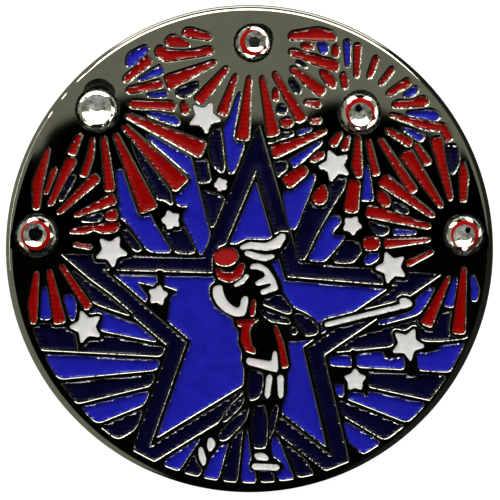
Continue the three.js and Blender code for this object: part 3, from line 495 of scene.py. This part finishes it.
def triangulated(rings, extra):
    """Triangles of the region bounded by rings (the first is the outer one), using extra points."""
    points, edges = [], []
    for ring in rings:
        start = len(points)
        points += [Vector(p) / MM for p in ring]
        edges += [(start + i, start + (i + 1) % len(ring)) for i in range(len(ring))]
    points += [Vector(p) / MM for p in extra]
    out, _, faces, _, _, _ = delaunay_2d_cdt(points, edges, [], KEEP_INSIDE, CDT_NEARNESS)
    out = np.array([p[:] for p in out]) * MM
    faces = [tuple(face) for face in faces]
    centres = np.array([out[list(face)].mean(0) for face in faces])
    keep = inside(centres, rings[0])
    for hole in rings[1:]:
        keep &= ~inside(centres, hole)
    faces = [face for face, kept in zip(faces, keep) if kept]
    return out, faces


# ---- sort the coin's level facets ----
floors = flat_floors()
enamel_nodes = {n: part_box(n) for n in nodes if n.startswith("enamel_")}


def colour_of_node(name):
    if name.startswith("enamel_big_star"):
        return "blue"
    if name.startswith("enamel_border"):
        return "navy"
    reds = ("enamel_ray", "enamel_cap", "enamel_waistcoat")
    return "red" if name.startswith(reds) else "white"


def owner_of(loop):
    low, high = loop.min(0), loop.max(0)
    best, gap = None, FAR
    for name, (a, b) in enamel_nodes.items():
        miss = abs(a.x - low[0]) + abs(a.y - low[1]) + abs(b.x - high[0]) + abs(b.y - high[1])
        if miss < gap:
            best, gap = name, miss
    return best


cells = []
seats = []
for height, loops in floors:
    depth = FACE - height
    if depth < DEPTH_MARGIN / 2:
        continue
    loops = [cleaned(anticlockwise(loop)) for loop in loops]
    if abs(depth - SEAT_DEPTH) < DEPTH_MARGIN or abs(depth - SLIP_DEPTH) < SLIP_MARGIN:
        seats.append((depth, loops))
        continue
    if abs(depth - POCKET) < DEPTH_MARGIN:
        name = owner_of(loops[0])
        colour = colour_of_node(name)
    else:
        name = None
        colour = min(SUNK, key=lambda c: abs(SUNK[c] - depth))
    cells.append({"colour": colour, "name": name, "loops": loops})

CORNERS = {"white": 0.10 * MM, "red": 0.14 * MM, "blue": 0.34 * MM, "navy": 0.34 * MM}
STAR_CORNER = 0.10 * MM
for cell in cells:
    pointed = cell["name"] and cell["name"].startswith(("enamel_big_star", "enamel_border"))
    corner = STAR_CORNER if pointed else CORNERS[cell["colour"]]
    cell["loops"] = [softened(loop, corner) for loop in cell["loops"]]

# ---- coin ----
SLOPE_SKIN, BORE_SKIN = 1, 2  # places in the list of the coin's materials; 0 is the polished plating
coin = Sheet()
openings = []


def line_widths(loops):
    """For each point of each loop, how far away the nearest other loop is, up to LINE_REACH."""
    tree = KDTree(sum(len(loop) for loop in loops))
    owner = []
    for k, loop in enumerate(loops):
        for x, y in loop:
            tree.insert((x, y, 0), len(owner))
            owner.append(k)
    tree.balance()
    widths = []
    for k, loop in enumerate(loops):
        near = [[gap for _, i, gap in tree.find_range((x, y, 0), LINE_REACH) if owner[i] != k]
                for x, y in loop]
        widths.append(np.array([min(gaps, default=LINE_REACH) for gaps in near]))
    return widths


def wall_profile(depth, room):
    """Rings of a wall as (step inward, drop, tilt of the surface in degrees). The slope ends on the
    outline, so the rings before it step outward."""
    rings = []
    for turn in np.linspace(0, SLOPE_TILT, EDGE_TURNS):
        a = math.radians(turn)
        rings.append((EDGE_ROUND * math.sin(a) * room, EDGE_ROUND * (1 - math.cos(a)) * room, turn))
    step, drop, _ = rings[-1]
    step = step + SLOPE_WIDTH * room
    drop = drop + SLOPE_WIDTH * room * math.tan(math.radians(SLOPE_TILT))
    rings = [(inward_step - step, down, tilt) for inward_step, down, tilt in rings]
    rings.append((0.0, drop, SLOPE_TILT))
    rings.append((SHOULDER_STEP * room, drop + SHOULDER_DROP * room, SHOULDER_TILT))
    step, drop, _ = rings[-1]
    foot = depth + FOOT_DEPTH
    step = step + np.maximum(foot - drop, 0) / math.tan(math.radians(WALL_TILT))
    rings.append((step, np.maximum(drop, foot), WALL_TILT))
    return rings


SLOPE_SPAN = EDGE_ROUND * math.sin(math.radians(SLOPE_TILT)) + SLOPE_WIDTH


def wall(loop, depth, line, facing=1.0, slope=1.0):
    """The edge, slope and wall round one opening. Returns the ring on the face and the foot."""
    if facing < 0:
        loop, line = loop[::-1], line[::-1]
    count = len(loop)
    into = inward(loop)
    room = slope * np.clip(LINE_SHARE * line / SLOPE_SPAN, LEAST_ROOM, 1.0)
    room = room * np.interp(loop[:, 1], *SLOPE_GROWS)
    room = (np.roll(room, 2) + np.roll(room, 1) + room + np.roll(room, -1) + np.roll(room, -2)) / 5
    last = top = None
    for step, drop, tilt in wall_profile(depth, room):
        a = math.radians(tilt)
        points = np.column_stack([loop + into * np.broadcast_to(step, count)[:, None],
                                  FACE - np.broadcast_to(drop, count)])
        normals = np.column_stack([into * math.sin(a), np.full(count, math.cos(a))])
        start = coin.add(points, normals)
        if last is None:
            top = points[:, :2]
        else:
            coin.band(last, start, count, SLOPE_SKIN)
        last = start
    return top, points[:, :2]


# Seats: a round bore each, with a crescent beside some.
stone_nodes = sorted(n for n in nodes if n.startswith("crystal_"))
stones = {}
for name in stone_nodes:
    low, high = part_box(name)
    stones[name] = ((low.x + high.x) / 2, (low.y + high.y) / 2, (high.x - low.x) / 2)


def circle(x, y, radius, count):
    turn = np.arange(count) * 2 * math.pi / count
    return np.column_stack([x + radius * np.cos(turn), y + radius * np.sin(turn)])


def bore_of(x, y, radius):
    """A stone's bore, the outline of its seat on the face, and the circle of its slipped drill, if any."""
    bore = circle(x, y, radius + SEAT_GAP, BORE_SIDES)
    slips = [loops[0] for depth, loops in seats if abs(depth - SLIP_DEPTH) < SLIP_MARGIN
             and np.hypot(*(loops[0].mean(0) - (x, y))) < SLIP_REACH]
    if not slips:
        return bore, bore, None
    # The crescent is part of a circle; its centre follows from the points of the CAD outline.
    far = slips[0][np.hypot(*(slips[0] - (x, y)).T) > radius + SEAT_GAP * BEYOND_BORE]
    design = np.column_stack([2 * far, np.ones(len(far))])
    cx, cy, c = np.linalg.lstsq(design, (far ** 2).sum(1), rcond=None)[0]
    slip = (cx, cy, math.sqrt(c + cx * cx + cy * cy))
    around = circle(*slip, BORE_SIDES)
    own = bore[~inside(bore, around)]
    extra = around[np.hypot(*(around - (x, y)).T) > radius + SEAT_GAP]
    both = np.vstack([own, extra])
    centre = both.mean(0)
    outline = both[np.argsort(np.arctan2(both[:, 1] - centre[1], both[:, 0] - centre[0]))]
    return bore, softened(outline, BORE_CORNER), slip


bores = [bore_of(*place) for place in stones.values()]
outlines = [(cell, k, loop) for cell in cells for k, loop in enumerate(cell["loops"])]
lines = line_widths([loop for _, _, loop in outlines] + [outline for _, outline, _ in bores])
feet = {}
for (cell, k, loop), line in zip(outlines, lines):
    top, foot = wall(loop, SUNK[cell["colour"]], line, -1.0 if k else 1.0, SLOPES[cell["colour"]])
    openings.append((top, k))
    feet.setdefault(id(cell), []).append(foot[::-1] if k else foot)
for cell in cells:
    coin.level(feet[id(cell)], FACE - SUNK[cell["colour"]] - FOOT_DEPTH, True)


def seat(bore, outline, slip, line):
    """The rounded edge of a seat, its crescent if it has one, and its bore."""
    top, foot = wall(outline, LIP - FOOT_DEPTH, line, slope=LIP_SLOPE)
    openings.append((top, 0))
    upper_heights = np.full(BORE_SIDES, FACE - LIP)
    if slip:
        # A slipped drill leaves a cone: it gets deeper towards its own centre.
        cx, cy, reach = slip

        def cone(points):
            away = points - (cx, cy)
            distance = np.hypot(*away.T)
            drop = np.maximum(reach - distance, 0) * math.tan(CONE_TILT)
            outward = away / np.maximum(distance, TINY_LENGTH)[:, None]
            upward = np.full(len(points), math.cos(CONE_TILT))
            return FACE - LIP - drop, np.column_stack([-outward * math.sin(CONE_TILT), upward])

        out, faces = triangulated([foot, bore], [])
        heights, tilts = cone(out)
        base = coin.add(np.column_stack([out, heights]), tilts)
        coin.cover([tuple(base + i for i in face) for face in faces], BORE_SKIN)
        upper_heights = cone(bore)[0]
    level = np.column_stack([inward(bore), np.zeros(BORE_SIDES)])
    upper = coin.add(np.column_stack([bore, upper_heights]), level)
    lower = coin.add(np.column_stack([bore, np.full(BORE_SIDES, FACE - SEAT_DEPTH)]), level)
    coin.band(upper, lower, BORE_SIDES, BORE_SKIN)
    coin.level([bore], FACE - SEAT_DEPTH, True)


for place, line in zip(bores, lines[len(outlines):]):
    seat(*place, line)


def turned_edge():
    """Rim and back, turned about the coin's axis."""
    angles = np.arange(RIM_STEPS) * 2 * math.pi / RIM_STEPS
    roundings = ((FACE_ROUND, FACE - FACE_ROUND, 0, FACE_TURNS), (BACK_ROUND, BACK_ROUND, 90, BACK_TURNS))
    last = None
    for size, centre, first_turn, turns in roundings:
        for turn in np.linspace(first_turn, first_turn + 90, turns):
            a = math.radians(turn)
            ring = circle(0, 0, COIN_RADIUS - size * (1 - math.sin(a)), RIM_STEPS)
            ring = np.column_stack([ring, np.full(RIM_STEPS, centre + size * math.cos(a))])
            facing = np.column_stack([math.sin(a) * np.cos(angles), math.sin(a) * np.sin(angles),
                                      np.full(RIM_STEPS, math.cos(a))])
            start = coin.add(ring, facing)
            if last is not None:
                coin.band(start, last, RIM_STEPS)
            last = start
    middle = coin.add([(0, 0, 0)], [(0, 0, -1)])
    ring = np.column_stack([circle(0, 0, COIN_RADIUS - BACK_ROUND, RIM_STEPS), np.zeros(RIM_STEPS)])
    start = coin.add(ring, np.tile((0, 0, -1.0), (RIM_STEPS, 1)))
    coin.faces += [(middle, start + (i + 1) % RIM_STEPS, start + i) for i in range(RIM_STEPS)]


def flat_face():
    """The flat face: everything between the openings."""
    border = circle(0, 0, COIN_RADIUS - FACE_ROUND, RIM_STEPS)
    points, edges = [], []
    for loop in [border] + [top for top, _ in openings]:
        start = len(points)
        points += [Vector(p) / MM for p in loop]
        edges += [(start + i, start + (i + 1) % len(loop)) for i in range(len(loop))]
    out, _, faces, _, _, _ = delaunay_2d_cdt(points, edges, [], KEEP_INSIDE, CDT_NEARNESS / 10)
    out = np.array([p[:] for p in out]) * MM
    faces = [tuple(face) for face in faces]
    centres = np.array([out[list(face)].mean(0) for face in faces])
    keep = inside(centres, border)
    for top, k in openings:
        hit = inside(centres, top)
        keep = keep | hit if k else keep & ~hit
    base = coin.add(np.column_stack([out, np.full(len(out), FACE)]), np.tile((0, 0, 1.0), (len(out), 1)))
    coin.faces += [tuple(base + i for i in face) for face, kept in zip(faces, keep) if kept]


turned_edge()
flat_face()
body = coin.build("coin_metal", METAL, SLOPE_METAL, SHADED_BORE_METAL, own_normals=True)
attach(body, "root")
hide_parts("struck_body")


# ---- enamel ----
def climb_share(points, gap):
    """How much of its full height the enamel climbs at each place, at this distance from its wall."""
    turns = 2 * math.pi * points / RIPPLE
    ripple = RIPPLE_SHARE * (np.sin(turns[:, 0]) + np.sin(turns[:, 1]))
    return PLAIN_SHARE * np.exp(-gap / MENISCUS_REACH) + ripple * np.exp(-gap / RIPPLE_REACH)


def enamel_surface(sheet, loops, level, climb):
    """One fill: flat in the middle, and climbing in a smooth curve to its walls."""
    ring_sets = [loop + inward(loop) * FILL_INSET * (1 if k == 0 else -1)
                 for k, loop in enumerate(loops)]
    outer = ring_sets[0]
    low, high = outer.min(0), outer.max(0)
    columns = np.arange(low[0], high[0] + GRID, GRID)
    rows = np.arange(low[1], high[1] + GRID, GRID * GRID_ROW)
    grid = np.array([(x + (GRID / 2 if j % 2 else 0), y) for j, y in enumerate(rows) for x in columns])
    rings = []
    for reach in SHELVES:
        for k, loop in enumerate(ring_sets):
            moved = loop + inward(loop) * reach * (1 if k == 0 else -1)
            gap = distance_to(moved, ring_sets)
            rings.append(moved[gap > reach * SHELF_ROOM])
    grid = grid[inside(grid, outer)]
    grid = grid[distance_to(grid, ring_sets) > GRID_START]
    extra = np.vstack([*rings, grid])
    for hole in ring_sets[1:]:
        extra = extra[~inside(extra, hole)]
    out, faces = triangulated(ring_sets, extra)
    gap = distance_to(out, ring_sets)
    heights = level + climb * climb_share(out, gap)
    base = sheet.add(np.column_stack([out, heights]))
    sheet.faces += [tuple(base + i for i in face) for face in faces]
    bottom = level - FOOT_DEPTH * 0.5
    for k, ring in enumerate(ring_sets):
        ring = ring[::-1] if k else ring
        count = len(ring)
        upper = sheet.add(np.column_stack([ring, level + climb * climb_share(ring, 0.0)]))
        lower = sheet.add(np.column_stack([ring, np.full(count, bottom)]))
        sheet.band(lower, upper, count)
    sheet.level(ring_sets, bottom, False)


def climb_of(colour):
    return min(MENISCUS_HEIGHT, SUNK[colour] * MENISCUS_SHARE)


loose = {colour: Sheet() for colour in SUNK}
for cell in cells:
    colour = cell["colour"]
    sheet = Sheet() if cell["name"] else loose[colour]
    enamel_surface(sheet, cell["loops"], FACE - SUNK[colour] - FILL_DROP, climb_of(colour))
    if cell["name"]:
        fill = sheet.build("fill_" + cell["name"], ENAMEL[colour])
        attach(fill, "root")
        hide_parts(cell["name"])
for colour, sheet in loose.items():
    fill = sheet.build("fill_cells_" + colour, ENAMEL[colour])
    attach(fill, "root")

# ---- stones: a glass crown over a foiled back ----
STONE_SIDES = 16
# Rings as (radius, height, turn in sides, share of the table's shift), in parts of the stone's radius.
CROWN = ((0.60, 0.46, 0.0, 1.0), (0.76, 0.42, 0.5, 0.0), (0.90, 0.335, 0.0, 0.0), (1.0, 0.06, 0.5, 0.0))
GIRDLE = (1.0, 0.0, 0.5, 0.0)
BACK = ((0.80, 0.5, 0.0), (0.60, 0.5, 1.0))  # radius, turn, share of the shift
BACK_DEPTH = 0.27
LIT_SLOPE = 0.23  # the part of the back that faces the top of the picture
DIM_SLOPE = 0.05
UNEVEN = 0.045  # facets of the crown are uneven by up to this much
RAGGED = 0.15  # and so is the edge of the middle patch of the back
WAIST = 0.40  # ring between the outer part of the back and that patch
WAIST_PULL = 0.4  # how far it follows the patch
WAIST_MARGIN = 0.07  # and how far it stays outside it
# For each stone: how far its table lies off centre, where the lit part of its back begins, the middle
# patch of its back as (x, y, radius), and whether that patch gets near-black paint, a painted dark
# reflection.
STONE_CUTS = {
    "crystal_left": ((-0.05, 0.03), -0.26, (-0.05, 0.04, 0.37), True),
    "crystal_upper_left": ((0.0, 0.0), -0.02, (0.0, -0.1, 0.3), False),
    "crystal_top": ((0.13, 0.04), -0.22, (0.1, 0.05, 0.33), True),
    "crystal_upper_right": ((0.02, -0.10), -0.26, (-0.06, 0.24, 0.2), True),
    "crystal_right": ((-0.03, -0.08), -0.30, (0.2, 0.22, 0.16), True),
}
PLAIN_EDGED = {"crystal_upper_left"}  # the others get red enamel on the facets round the table: a painted reflection of the red seat
STONE_SKINS = {"glass": 0, "foil": 1, "red": 2, "shaded": 3, "bare": 4}


def stone(name, x, y, radius):
    (shift_x, shift_y), lit, (patch_x, patch_y, patch_radius), bare = STONE_CUTS[name]
    sides = range(STONE_SIDES)
    uneven = random.Random(name)

    def back_height(part_y):
        return -BACK_DEPTH + LIT_SLOPE * max(lit - part_y, 0) + DIM_SLOPE * max(part_y - lit, 0)

    def ring(part, turn, shift, height=None, jitter=0.0):
        start = len(points)
        for i in sides:
            a = (i + turn) * 2 * math.pi / STONE_SIDES
            px, py = part * math.cos(a) + shift * shift_x, part * math.sin(a) + shift * shift_y
            pz = back_height(py) if height is None else height + uneven.uniform(-jitter, jitter)
            points.append((x + radius * px, y + radius * py, FACE + radius * pz))
        return start

    points, faces, skins = [], [], []
    rings, turns = [], []
    for k, (part, height, turn, shift) in enumerate((*CROWN, GIRDLE)):
        rings.append(ring(part, turn, shift, height, UNEVEN if k == 2 else 0.0))
        turns.append(turn)
    for part, turn, shift in BACK:
        rings.append(ring(part, turn, shift))
        turns.append(turn)

    # Faces below the lit line get the bright foil; the rest get the darker foil, which paints their shade.
    def back_skin(face):
        middle_y = sum(points[i][1] for i in face) / len(face)
        return "foil" if (middle_y - y) / radius < lit else "shaded"

    faces.append([rings[0] + i for i in sides])
    skins.append(STONE_SKINS["glass"])
    # Skins of the rings from the table outward; red enamel on the first ring paints the reflection of the
    # red seat.
    outside = ("glass" if name in PLAIN_EDGED else "red", "foil", "glass", "glass", "foil")
    for k, (upper, lower) in enumerate(zip(rings, rings[1:])):
        for i in sides:
            j = (i + 1) % STONE_SIDES
            if turns[k] == turns[k + 1]:
                made = [(upper + i, lower + i, lower + j, upper + j)]
            elif turns[k + 1] > turns[k]:
                made = [(upper + i, lower + i, upper + j), (lower + i, lower + j, upper + j)]
            else:
                made = [(upper + i, lower + i, lower + j), (upper + i, lower + j, upper + j)]
            faces.extend(made)
            skins.extend(STONE_SKINS[outside[k] if k < len(outside) else back_skin(face)] for face in made)
    waist_x = shift_x + WAIST_PULL * (patch_x - shift_x)
    waist_y = shift_y + WAIST_PULL * (patch_y - shift_y)
    waist = (waist_x, waist_y, max(WAIST, patch_radius + WAIST_MARGIN), 0.0)
    before = rings[-1]
    for cx, cy, size, ragged in (waist, (patch_x, patch_y, patch_radius, RAGGED)):
        patch = len(points)
        for i in sides:
            a = (i + BACK[-1][1]) * 2 * math.pi / STONE_SIDES
            part = size * (1 + uneven.uniform(-ragged, ragged))
            px, py = cx + part * math.cos(a), cy + part * math.sin(a)
            points.append((x + radius * px, y + radius * py, FACE + radius * back_height(py)))
        for i in sides:
            j = (i + 1) % STONE_SIDES
            face = (before + i, patch + i, patch + j, before + j)
            faces.append(face)
            skins.append(STONE_SKINS[back_skin(face)])
        before = patch
    # The middle patch; on some stones it is painted near-black, a painted dark reflection.
    points.append((x + radius * patch_x, y + radius * patch_y, FACE + radius * back_height(patch_y)))
    for i in sides:
        face = (patch + i, len(points) - 1, patch + (i + 1) % STONE_SIDES)
        faces.append(face)
        skins.append(STONE_SKINS["bare" if bare else back_skin(face)])
    mesh = bpy.data.meshes.new("cut_" + name)
    mesh.from_pydata(points, [], faces)
    for material in (CRYSTAL, FOIL, ENAMEL["red"], SHADED_FOIL, PAINTED_DARK_CENTRE):
        mesh.materials.append(material)
    mesh.polygons.foreach_set("material_index", skins)
    piece = bpy.data.objects.new("cut_" + name, mesh)
    bpy.context.scene.collection.objects.link(piece)
    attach(piece, "root")
    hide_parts(name)


for name, place in stones.items():
    stone(name, *place)
for name, thing in nodes.items():
    if name.startswith(("glue_", "seat_enamel_")):
        thing.data.materials.clear()
        thing.data.materials.append(GLUE if name.startswith("glue_") else ENAMEL["red"])

# ---- stage ----
def link(thing):
    bpy.context.scene.collection.objects.link(thing)
    return thing


def flat_mesh(name, corners, material):
    mesh = bpy.data.meshes.new(name)
    mesh.from_pydata(corners, [], [tuple(range(len(corners)))])
    mesh.materials.append(material)
    return link(bpy.data.objects.new(name, mesh))


FLOOR_REACH = 3.0
FLOOR_DROP = 0.05 * MM
FLOOR_TONE = (0.3, 0.3, 0.3, 1.0)
FLOOR_GLOW = 0.95  # the paper looks evenly lit; the coin neither mirrors it nor gets light from it


def floor_paper():
    material, _, shader = new_material("pale_floor")
    shader.inputs["Base Color"].default_value = FLOOR_TONE
    shader.inputs["Roughness"].default_value = 1.0
    shader.inputs["Specular IOR Level"].default_value = 0.0
    shader.inputs["Emission Color"].default_value = (*WHITE, 1.0)
    shader.inputs["Emission Strength"].default_value = FLOOR_GLOW
    return material


signs = ((-1, -1), (1, -1), (1, 1), (-1, 1))
floor = flat_mesh("floor", [(i * FLOOR_REACH, j * FLOOR_REACH, -FLOOR_DROP) for i, j in signs],
                  floor_paper())
floor.visible_glossy = False
floor.visible_diffuse = False
floor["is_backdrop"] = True

CENTRE = Vector((0.0, 0.0, FACE))
LAMP_DISTANCE = 0.40


def toward(azimuth, elevation, distance):
    """A place seen from the coin at an azimuth (0 is +X, 90 is +Y) and elevation."""
    a, e = math.radians(azimuth), math.radians(elevation)
    return CENTRE + distance * Vector((math.cos(a) * math.cos(e), math.sin(a) * math.cos(e), math.sin(e)))


def lamp(name, azimuth, elevation, width, height, glow, colour=WHITE, distance=LAMP_DISTANCE):
    """A rectangular softbox that faces the coin; glow is how bright its face looks."""
    data = bpy.data.lights.new(name, "AREA")
    data.shape = "RECTANGLE"
    data.size = width
    data.size_y = height
    data.energy = glow * width * height * math.pi
    data.color = colour
    thing = bpy.data.objects.new(name, data)
    thing.location = toward(azimuth, elevation, distance)
    thing.rotation_mode = "QUATERNION"
    thing.rotation_quaternion = (CENTRE - thing.location).to_track_quat("-Z", "Y")
    thing.visible_camera = False
    return link(thing)


WARM = (1.0, 0.97, 0.90)
SPARK_ELEVATION = 29.0
SPARK_SIZE = 0.13
SPARK_AZIMUTHS = (8.0, 52.0, 208.0, 245.0, 318.0)
WINDOW_ELEVATION = 30.0
WINDOW_HEIGHT = 0.05
# Azimuth and width of each light that the rim's rounded edge shows at the upper left.
WINDOWS = ((126.0, 0.045), (134.5, 0.016), (140.5, 0.010), (146.0, 0.010))
lamp("key", 90.0, 40.0, 0.52, 0.18, 6.6, WARM)
front = lamp("front", 270.0, 47.0, 0.40, 0.022, 110.0)
front.visible_diffuse = False
lamp("horizon", 90.0, -16.0, 0.50, 0.22, 2.2, WARM)
lamp("side_strip", 166.0, 29.0, 0.24, 0.014, 6.0, WARM)
shown = bpy.data.collections.new("enamel_and_stones")
for piece in list(bpy.context.scene.collection.objects):
    if piece.name.startswith(("fill_", "cut_")):
        shown.objects.link(piece)
front.light_linking.receiver_collection = shown  # the metal doesn't mirror this one
# Small lights that only the stones catch, so that some facets on every side sparkle.
stones_only = bpy.data.collections.new("stones_only")
for piece in shown.objects:
    if piece.name.startswith("cut_"):
        stones_only.objects.link(piece)
for azimuth in SPARK_AZIMUTHS:
    spark = lamp("spark_%d" % azimuth, azimuth, SPARK_ELEVATION, SPARK_SIZE, SPARK_SIZE, 2.6, WARM)
    spark.light_linking.receiver_collection = stones_only
    spark.visible_diffuse = False
fill = lamp("fill", 90.0, 88.0, 0.50, 0.50, 0.62, distance=0.50)
fill.visible_glossy = False
for azimuth, width in WINDOWS:
    lamp("window_%d" % azimuth, azimuth, WINDOW_ELEVATION, width, WINDOW_HEIGHT, 12.0, WARM)

# The camera looks straight down, from a height at which the coin nearly fills the picture.
COIN_SHARE = 0.975  # the coin's part of the picture's width
VIEW_WIDTH = 2 * COIN_RADIUS / COIN_SHARE
VIEW_LEVEL = FACE * 0.8  # the picture is that wide at this level
LENS, SENSOR = 150.0, 36.0
CAMERA_HEIGHT = VIEW_WIDTH * LENS / SENSOR + VIEW_LEVEL

# Grey card that the flat metal mirrors in the upper part of the picture.
CARD_HEIGHT = 0.20
# A place on the coin mirrors the place on the card that lies this many times as far out.
MIRRORED = 1 + (CARD_HEIGHT - FACE) / (CAMERA_HEIGHT - FACE)
CARD_EDGE = 7.4 * MM * MIRRORED
CARD_FADE = 0.6 * MM * MIRRORED
CARD_GLOW = 0.26
CARD_TONE = (1.0, 1.0, 0.84, 1.0)
CARD_REACH, CARD_TOP = 0.25, 0.16  # half of its width, and how far it reaches to the top
SPAN = COIN_RADIUS * MIRRORED
EDGE_SWING = 6.0 * MM * MIRRORED
# The card's lower edge is uneven: high beside the upper stones, low at the sides. Each point is
# (place across, height), in parts of the span and of the swing.
EDGE_SHAPE = ((0.0, 0.05), (0.06, 0.1), (0.09, 0.28), (0.12, 0.38), (0.2, 0.5), (0.26, 0.6), (0.33, 0.46),
              (0.5, 0.4), (0.6, 0.42), (0.67, 0.56), (0.75, 0.5), (0.82, 0.4), (0.92, 0.15), (1.0, 0.0))


def card_paper():
    """Grey paper that fades out along its lower edge."""
    material, tree, shader = new_material("grey_card")
    tree.nodes.remove(shader)
    parts = node(tree, "ShaderNodeSeparateXYZ", {"Vector": object_space(tree)})
    across = node(tree, "ShaderNodeMapRange", {"Value": parts.outputs["X"], "From Min": -SPAN,
                                               "From Max": SPAN})
    edge = node(tree, "ShaderNodeFloatCurve", {"Value": across.outputs["Result"]})
    curve = edge.mapping.curves[0]
    curve.points[0].location = EDGE_SHAPE[0]
    curve.points[1].location = EDGE_SHAPE[-1]
    for place in EDGE_SHAPE[1:-1]:
        curve.points.new(*place)
    edge.mapping.update()
    edge_y = node(tree, "ShaderNodeMath", {0: edge.outputs["Value"], 1: EDGE_SWING,
                                           2: CARD_EDGE - EDGE_SWING * 0.5}, operation="MULTIPLY_ADD")
    above = node(tree, "ShaderNodeMath", {0: parts.outputs["Y"], 1: edge_y.outputs["Value"]},
                 operation="SUBTRACT")
    fade = node(tree, "ShaderNodeMapRange", {"Value": above.outputs["Value"], "From Min": -CARD_FADE / 2,
                                             "From Max": CARD_FADE / 2, "To Min": 0.0,
                                             "To Max": CARD_GLOW}, interpolation_type="SMOOTHSTEP")
    glow = node(tree, "ShaderNodeEmission", {"Color": CARD_TONE, "Strength": fade.outputs["Result"]})
    tree.links.new(glow.outputs["Emission"], tree.nodes["Material Output"].inputs["Surface"])
    return material


card_corners = ((-CARD_REACH, 0.0), (-CARD_REACH, CARD_TOP), (CARD_REACH, CARD_TOP), (CARD_REACH, 0.0))
card = flat_mesh("grey_card", [(x, y, CARD_HEIGHT) for x, y in card_corners], card_paper())
card.visible_camera = False
card.visible_diffuse = False
card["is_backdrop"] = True

# The room: dark overhead and in front, dim olive walls to the left and right, pale to the eye.
WALL_TONE = (1.0, 1.0, 0.82, 1.0)
# A wall's glow comes up between two values of the direction's X: (start, end, least, most).
LEFT_WALL = (-0.30, -0.45, 0.0, 0.26)
RIGHT_WALL = (0.3, 0.5, 0.002, 0.028)


def wall_glow(tree, across, start, end, least, most):
    made = node(tree, "ShaderNodeMapRange", {"Value": across, "From Min": start, "From Max": end,
                                             "To Min": least, "To Max": most},
                interpolation_type="SMOOTHSTEP")
    return made.outputs["Result"]


def studio_room():
    world = bpy.data.worlds.new("studio")
    bpy.context.scene.world = world
    world.use_nodes = True
    tree = world.node_tree
    direction = node(tree, "ShaderNodeTexCoord").outputs["Generated"]
    across = node(tree, "ShaderNodeSeparateXYZ", {"Vector": direction}).outputs["X"]
    both = node(tree, "ShaderNodeMath", {0: wall_glow(tree, across, *LEFT_WALL),
                                         1: wall_glow(tree, across, *RIGHT_WALL)}, operation="ADD")
    eye = node(tree, "ShaderNodeLightPath").outputs["Is Camera Ray"]
    seen = node(tree, "ShaderNodeMath", {0: both.outputs["Value"], 1: eye}, operation="MAXIMUM")
    tone = node(tree, "ShaderNodeMix", {"Factor": eye, 6: WALL_TONE, 7: (*WHITE, 1.0)}, data_type="RGBA")
    background = tree.nodes["Background"]
    tree.links.new(tone.outputs[2], background.inputs["Color"])
    tree.links.new(seen.outputs["Value"], background.inputs["Strength"])


studio_room()

# ---- camera, straight above the coin ----
CAMERA_PLACE = (0.03 * MM, -0.07 * MM)
camera_data = bpy.data.cameras.new("camera")
camera_data.lens = LENS
camera_data.sensor_width = SENSOR
camera_data.clip_start = 0.001
camera_data.clip_end = 10.0
camera = link(bpy.data.objects.new("camera", camera_data))
camera.location = (*CAMERA_PLACE, CAMERA_HEIGHT)
bpy.context.scene.camera = camera
bpy.context.scene.view_settings.view_transform = "Standard"

low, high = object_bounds()
